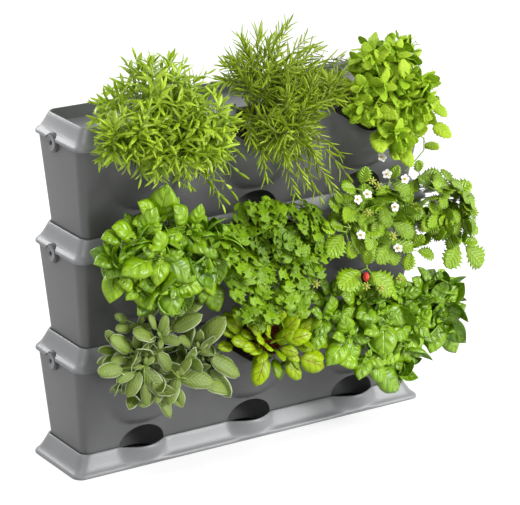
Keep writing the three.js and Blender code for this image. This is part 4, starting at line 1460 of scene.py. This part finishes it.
PARSLEY_CLUMPS = [((0.1, -1.22, 0.05), (0.76, 0.33, 0.6)), ((0.1, -1.28, -0.55), (0.52, 0.28, 0.48))]
PARSLEY_LEAVES = [
    (258, 204), (266, 212), (278, 212), (248, 215), (240, 228), (262, 226), (285, 226), (300, 222),
    (312, 236), (300, 246), (280, 246), (258, 252), (275, 268), (300, 262), (315, 262), (290, 278),
    (286, 292), (245, 292), (262, 296), (243, 308), (260, 310), (234, 247), (270, 238), (268, 218),
    (290, 236), (310, 252), (250, 266), (268, 284), (248, 238), (296, 300), (262, 262), (240, 280),
    (305, 276), (318, 250), (254, 322), (270, 308), (282, 304), (240, 262), (232, 236),
]
parsley = Plant("parsley", 1, 1, 22)
fill(parsley, PARSLEY_CLUMPS, 58, 16 * MM, parsley_fan, 0.7, 0.95)
for u, v in PARSLEY_LEAVES:
    y = max(-112 - 0.42 * (v - 200) + parsley.jitter(8), -152) * MM
    place = arr(sight(u, v, y))
    stalks_to(parsley, [place], 0.8 * MM)
    parsley_fan(place, unit(VIEWWARD * 0.7 + LIGHTWARD * 0.5), 1.25, (0.4, 1.0))
parsley.build(LEAF_FINISH["parsley"], GREEN_STEM)

# %% [markdown]
# ## Middle tier: strawberry
# Strawberry leaves come in threes on a long stalk, with toothed edges and a fold along the middle.
# Small white flowers with five petals, spent flower heads and one red berry sit among them.

# %% Strawberry leaves
STRAWBERRY_CLUMPS = [((-0.15, -1.2, 0.1), (0.76, 0.32, 0.56)), ((1.0, -1.22, 0.05), (0.78, 0.33, 0.6)),
                     ((1.55, -1.12, -0.2), (0.44, 0.3, 0.48))]
STRAWBERRY = [
    ((362, 190), -128, [(350, 187, 32), (364, 176, 29), (368, 205, 37)]),
    ((389, 182), -122, [(394, 173, 25), (402, 188, 34), (384, 194, 33)]),
    ((420, 176), -105, [(419, 167, 22), (432, 175, 32), (415, 185, 24)]),
    ((449, 195), -100, [(461, 188, 34), (438, 201, 28), (448, 207, 27)]),
    ((456, 220), -104, [(464, 211, 28), (469, 226, 36), (457, 236, 29)]),
    ((462, 241), -108, [(453, 256, 41), (476, 256, 44), (470, 241, 24)]),
    ((391, 222), -136, [(404, 229, 40), (382, 214, 28), (374, 230, 33)]),
    ((350, 228), -134, [(358, 242, 38), (347, 216, 30), (338, 225, 28)]),
    ((346, 232), -138, [(336, 245, 40), (352, 250, 28), (330, 228, 28)]),
    ((346, 208), -126, [(336, 205, 32), (354, 214, 26), (340, 198, 26)]),
    ((392, 241), -142, [(384, 253, 36), (402, 244, 36), (394, 256, 28)]),
    ((367, 268), -148, [(350, 279, 48), (384, 283, 50), (368, 258, 28)]),
    ((432, 213), -112, [(434, 223, 32), (420, 208, 28), (443, 214, 26)]),
    ((413, 250), -124, [(409, 261, 28), (427, 253, 28), (418, 242, 26)]),
    ((405, 210), -118, [(415, 213, 28), (397, 214, 28), (405, 200, 26)]),
    ((378, 240), -140, [(370, 248, 30), (386, 238, 28), (376, 230, 26)]),
]
strawberry = Plant("strawberry", 1, 2, 23)


def strawberry_trio(tip, outward):
    place = tip - outward * 16 * MM
    face, ahead, side = palm(strawberry, outward, 0.8, 0.4, 0.2)
    for angle, size in ((0, 33), (-74, 30), (74, 30)):
        turn = math.radians(angle + strawberry.jitter(8))
        along = math.cos(turn) * ahead + math.sin(turn) * side
        length = size * MM * (1 + strawberry.jitter(0.15))
        # The filling leaflets get a lower tone than the leaves in front, which is painted shade.
        strawberry.leaf("strawberry", place + along * 2 * MM, along, face, length, 1.0, 0.35,
                        strawberry.rng.uniform(0.1, 0.8))


fill(strawberry, STRAWBERRY_CLUMPS, 56, 19 * MM, strawberry_trio, 0.66, 0.98)
hearts(strawberry, "strawberry", STRAWBERRY, droop=0.3, bud=0, scale=1.12)
strawberry.build(LEAF_FINISH["strawberry"], GREEN_STEM)

# %% [markdown]
# ## Middle tier: strawberry flowers, seed heads and the berry
# A flower is five cupped petals round a yellow button. A spent head is a yellow-green button in a
# collar of small pointed leaves. The berry is a stretched ball that tapers downwards.

# %% Flowers and fruit
FLOWERS = [
    (367.5, 194, -146), (358, 199.5, -146), (434, 203, -122), (361, 235, -152), (398, 248, -150),
    (387, 174, -138), (382, 157, -118), (395, 207, -138), (405, 179, -130),
]
SEED_HEADS = [
    (372, 181, -140), (378, 186, -140), (368, 213, -146), (415, 207, -130), (437, 186, -118),
    (446, 188, -114), (456, 196, -112), (393, 236, -148), (422, 228, -128), (316, 284, -150),
    (366, 286, -157), (381, 288, -157), (475, 213, -108), (400, 279, -150),
]
petals = Plant("strawberry_flowers", 1, 2, 24, "strawberry")
sepals = Plant("strawberry_sepals", 1, 2, 25, "strawberry")


def button(u, v, y, radius, stretch=1.0):
    clear()
    bpy.ops.mesh.primitive_ico_sphere_add(subdivisions=2, radius=radius, location=sight(u, v, y * MM))
    ball = bpy.context.object
    ball.scale = (1, 1, stretch)
    return settle(ball)


def round_of(plant, kind, u, v, y, count, length, opening, tone_and_shade):
    centre = arr(sight(u, v, y * MM))
    outward = unit(VIEWWARD + LIGHTWARD * 0.5 + np.array([plant.jitter(0.4), 0, plant.jitter(0.4)]))
    side = unit(np.cross(outward, np.array([0.2, 0.1, 1.0])))
    other = np.cross(outward, side)
    first = plant.rng.uniform(0, 6.28)
    for place in range(count):
        angle = first + place * 2 * math.pi / count
        along = unit(math.cos(angle) * side + math.sin(angle) * other + outward * opening)
        base = centre + along * 1.2 * MM - outward * 1 * MM
        plant.leaf(kind, base, along, outward, length, 1.0, 0.3, tone_and_shade)
    foot = centre - outward * 22 * MM + np.array([0, 8 * MM, -4 * MM])
    plant.stem(arc(foot, centre - outward * 14 * MM, centre, 5), 0.5 * MM)


yellow = []
green = []
for u, v, y in FLOWERS:
    round_of(petals, "petal", u, v, y, 5, 7 * MM, 0.25, 1.0)
    yellow.append(button(u, v, y - 1, 2.1 * MM, 0.8))
for u, v, y in SEED_HEADS:
    round_of(sepals, "sepal", u, v, y, 7, 7 * MM, 0.5, 0.8)
    green.append(button(u, v, y - 1, 2.8 * MM))
petal_white = leaf_finish("petal_white", (0.7, 0.7, 0.62), (0.8, 0.8, 0.76), (0.75, 0.76, 0.6),
                          veins=2, vein_width=0.05, vein_share=0.2, puff=0.2, gloss=0.5)
sepal_green = leaf_finish("sepal_green", (0.3, 0.42, 0.03), (0.5, 0.56, 0.1), (0.5, 0.6, 0.2),
                          veins=2, vein_width=0.05, vein_share=0.2, puff=0.2, gloss=0.45)
petals.build(petal_white, GREEN_STEM)
sepals.build(sepal_green, GREEN_STEM)


def seeded(name, ground, seed, scale):
    finish = Finish(name)
    spots = finish.node("ShaderNodeTexVoronoi", {}, {"Vector": finish.place(), "Scale": scale})
    finish.surface(Base_Color=finish.mix(spots.step(0.12, 0.3), seed, ground), Roughness=0.4 + spots * 0.2,
                   Normal=finish.bump(spots, 0.6, 0.8 * MM))
    return finish.material


BERRY = (366, 277, -158)
berry = button(*BERRY, 5.2 * MM, 1.45)
middle = arr(sight(*BERRY[:2], BERRY[2] * MM))


def taper(x, y, z):
    share = np.clip((middle[2] - z) / (7.5 * MM), -1, 1)
    narrow = 1 - 0.35 * np.clip(share, 0, 1) ** 1.5
    return middle[0] + (x - middle[0]) * narrow, middle[1] + (y - middle[1]) * narrow, z


edit(berry)
bpy.ops.mesh.select_all(action="SELECT")
bpy.ops.mesh.subdivide(number_cuts=1, smoothness=1.0)
bpy.ops.object.mode_set(mode="OBJECT")
move_vertices(berry, taper)
stamen_yellow = seeded("stamen_yellow", (0.62, 0.42, 0.02), (0.8, 0.62, 0.08), 900)
seed_head_green = seeded("seed_head_green", (0.36, 0.36, 0.05), (0.66, 0.6, 0.2), 800)
berry_red = seeded("berry_red", (0.6, 0.012, 0.015), (0.7, 0.35, 0.05), 420)
parts = [(fuse(yellow, "strawberry_stamens"), stamen_yellow),
         (fuse(green, "strawberry_seed_heads"), seed_head_green),
         (fuse([berry], "strawberry_berry"), berry_red)]
for piece, material in parts:
    dress(piece, material, 80)
    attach(piece, "tier_middle")
    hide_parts("strawberry")
print("The strawberry has", len(FLOWERS), "flowers and", len(SEED_HEADS), "spent heads")

# %% [markdown]
# ## Lower tier: sage
# The sage is a spreading bush of long, felted, grey-green leaves in open rosettes. Its leaves are
# large in the picture, so each one is placed by the pixel of its middle.

# %% Sage
SAGE_CLUMPS = [((-0.5, -1.2, 0.16), (0.7, 0.32, 0.56)), ((0.5, -1.18, 0.06), (0.64, 0.3, 0.54))]
SAGE = [
    ((161, 338), -142, [(145, 334, 46), (164, 326, 34), (187, 322, 46), (170, 340, 30), (154, 322, 28)]),
    ((140, 355), -138, [(122, 344, 48), (131, 366, 40), (120, 359, 30), (154, 357, 40), (138, 342, 28)]),
    ((198, 350), -138, [(212, 331, 52), (186, 341, 34), (189, 364, 34), (226, 366, 56), (207, 351, 26),
                        (199, 338, 26)]),
    ((144, 366), -150, [(154, 382, 50), (134, 384, 38), (111, 370, 42), (146, 395, 32), (126, 376, 32)]),
    ((178, 377), -150, [(197, 379, 54), (172, 391, 40), (166, 362, 40), (217, 386, 48), (181, 398, 24),
                        (185, 366, 26)]),
    ((160, 392), -148, [(165, 404, 40), (148, 400, 30), (178, 402, 24), (156, 386, 26)]),
    ((140, 326), -118, [(142, 318, 28), (124, 328, 30), (122, 318, 24), (152, 312, 26)]),
    ((176, 318), -118, [(165, 309, 38), (190, 308, 40), (178, 300, 26)]),
    ((124, 352), -122, [(108, 350, 30), (112, 338, 32), (110, 360, 26)]),
]
sage = Plant("sage", 0, 0, 31)
fill_dark(sage, "sage", SAGE_CLUMPS, 22, 27 * MM, sizes=(48, 42, 26), back=24 * MM, reach=22 * MM,
          shade=0.45, low=0.66, high=0.92)
hearts(sage, "sage", SAGE, droop=0.25, bud=20, scale=1.15)
sage.build(LEAF_FINISH["sage"], GREEN_STEM)

# %% [markdown]
# ## Lower tier: red-veined sorrel
# Oval yellow-green leaves stand on dark red stalks, and the veins are the same dark red.

# %% Sorrel
SORREL_CLUMPS = [((0.12, -1.18, 0.0), (0.72, 0.3, 0.5))]
SORREL_LEAVES = [
    (236, 325, 36, -128), (242, 341, 36, -142), (254, 325, 28, -128), (230, 332, 28, -126),
    (271, 320, 26, -126), (281, 317, 28, -124), (290, 325, 36, -132), (300, 311, 40, -118),
    (270, 332, 30, -136), (299, 337, 40, -138), (284, 337, 30, -140), (310, 325, 38, -124),
    (269, 346, 30, -146), (290, 351, 28, -146), (294, 357, 24, -146), (261, 371, 44, -142),
    (314, 363, 46, -142), (295, 371, 36, -140), (316, 354, 36, -136), (226, 346, 26, -132),
    (262, 356, 26, -144), (248, 314, 28, -116), (262, 312, 28, -114), (278, 304, 30, -112),
    (326, 342, 30, -128), (238, 312, 24, -112), (256, 350, 26, -142), (306, 346, 28, -140),
    (222, 322, 26, -118), (318, 334, 30, -128), (258, 331, 30, -140), (268, 319, 28, -130),
    (250, 347, 28, -144), (262, 340, 26, -144), (276, 340, 26, -142), (248, 334, 26, -134),
    (230, 318, 26, -118), (292, 308, 28, -114),
]
sorrel = Plant("sorrel", 0, 1, 32)
# The filling leaves behind get a low tone, which is painted shade.
for place, outward, heart in sorrel.spread(SORREL_CLUMPS, 26, 24 * MM, 0.62, 0.9):
    base = place - outward * 15 * MM
    sorrel.leaf("sorrel", base, outward, LIGHTWARD, 34 * MM, 1.0, 0.5, sorrel.rng.uniform(0.0, 0.35))
    stalks_to(sorrel, [base], 1.2 * MM)
for u, v, size, y in SORREL_LEAVES:
    base = aimed_leaf(sorrel, "sorrel", (270, 346), (u, v), y * MM, size * 1.12 * MM, 1 + sorrel.jitter(0.1),
                      0.35, 14 * MM, sorrel.rng.uniform(0.45, 1.0))
    stalks_to(sorrel, [base], 1.4 * MM)
sorrel.build(LEAF_FINISH["sorrel"], RED_STEM)

# %% [markdown]
# ## Lower tier: basil
# A second, wider basil fills the right pocket and hangs in front of the box.

# %% Basil in the lower tier
BASIL_LOWER_CLUMPS = [((-0.15, -1.18, 0.12), (0.78, 0.32, 0.62)), ((0.92, -1.2, 0.03), (0.78, 0.32, 0.7)),
                      ((0.3, -1.26, -0.6), (0.56, 0.26, 0.48))]
BASIL_LOWER = [
    ((381, 309), -142, [(368, 312, 44), (398, 315, 44), (381, 317, 28), (380, 300, 26)]),
    ((386, 325), -150, [(384, 341, 50), (372, 330, 28), (399, 334, 30), (390, 318, 22)]),
    ((350, 337), -144, [(337, 352, 44), (354, 350, 36), (346, 326, 34), (362, 338, 26), (340, 336, 26)]),
    ((330, 318), -132, [(322, 326, 34), (318, 340, 34), (332, 307, 34), (340, 316, 26), (318, 312, 26)]),
    ((416, 324), -140, [(412, 342, 44), (405, 326, 28), (422, 330, 30), (424, 316, 26), (400, 352, 38)]),
    ((441, 318), -132, [(435, 337, 46), (452, 342, 40), (452, 311, 42), (450, 326, 30), (431, 322, 28)]),
    ((436, 302), -124, [(426, 300, 46), (447, 294, 40), (438, 290, 28), (444, 306, 26)]),
    ((366, 358), -152, [(362, 366, 40), (350, 361, 32), (378, 360, 30), (380, 373, 40), (390, 381, 46)]),
    ((360, 300), -132, [(370, 297, 32), (350, 296, 32), (350, 311, 30), (360, 290, 26), (364, 308, 24)]),
    ((400, 296), -128, [(407, 302, 32), (394, 291, 32), (400, 282, 28), (412, 292, 28)]),
    ((446, 284), -112, [(442, 276, 30), (453, 284, 32), (434, 280, 28), (455, 294, 26)]),
    ((332, 294), -118, [(322, 298, 34), (326, 286, 34), (314, 294, 28), (338, 286, 28)]),
    ((400, 345), -146, [(392, 356, 30), (410, 356, 30), (402, 336, 26), (418, 350, 28)]),
]
basil_lower = Plant("basil_lower", 0, 2, 33)
fill_dark(basil_lower, "basil", BASIL_LOWER_CLUMPS, 48, 23 * MM, sizes=(44, 38, 24), back=20 * MM,
          reach=20 * MM, shade=0.6, low=0.66, high=0.95)
hearts(basil_lower, "basil", BASIL_LOWER, droop=0.35, scale=1.2)
basil_lower.build(LEAF_FINISH["basil_lower"], GREEN_STEM)

# %% [markdown]
# ## The studio
# A plain pale floor and a soft world, which is brighter above the horizon, give the fill. The key
# lamp above the front right models the forms and puts the highlights on the collars. The low one
# puts them on the tray, the near one lights the right end, and the left and rim lamps the other
# sides. The world and the floor look white to the camera, in mirrors and through glass, by way of
# Light Path, and the object gets no more light for it.

# %% Light, floor and background
def area_light(name, place, target, size, power):
    data = bpy.data.lights.new(name, "AREA")
    data.energy = power
    data.shape = "SQUARE"
    data.size = size
    lamp = bpy.data.objects.new(name, data)
    lamp.location = place
    lamp.rotation_euler = (Vector(target) - Vector(place)).to_track_quat("-Z", "Y").to_euler()
    bpy.context.scene.collection.objects.link(lamp)


area_light("key", (1.55, -2.1, 1.8), (0, 0, 0.2), 0.9, 43)
area_light("low", (1.45, -2.05, 1.15), (0, 0, 0.15), 0.8, 26)
area_light("near", (1.25, -1.15, 0.3), (0.2, 0, 0.15), 0.35, 7)
area_light("left", (-1.45, -0.75, 2.75), (0, 0, 0.3), 0.6, 15)
area_light("rim", (-0.8, 2.3, 1.75), (0, 0, 0.4), 1.1, 44)
world = bpy.data.worlds.new("studio")
bpy.context.scene.world = world
studio = Finish("studio", world, "Background")
height = studio.node("ShaderNodeSeparateXYZ", {}, {0: studio.node("ShaderNodeTexCoord")}, "Z")
sky = studio.node("ShaderNodeMapRange", {}, {"Value": height, "To Min": 0.4, "To Max": 0.85})
strength = studio.node("ShaderNodeMapRange", {}, {"Value": studio.seen(), "To Min": sky})
studio.surface(Color=(1, 1, 1), Strength=strength)

clear()
bpy.ops.mesh.primitive_plane_add(size=12, location=(0, 0, -0.3 * MM))
floor = bpy.context.object
floor.name = "floor"
paper = Finish("white_paper")
paper.surface(Base_Color=(0.45, 0.45, 0.45), Roughness=0.9, Emission_Color=(1, 1, 1),
              Emission_Strength=paper.seen() * 0.62)
floor.data.materials.append(paper.material)
bpy.context.scene.view_settings.view_transform = "Standard"
print("The studio is lit")
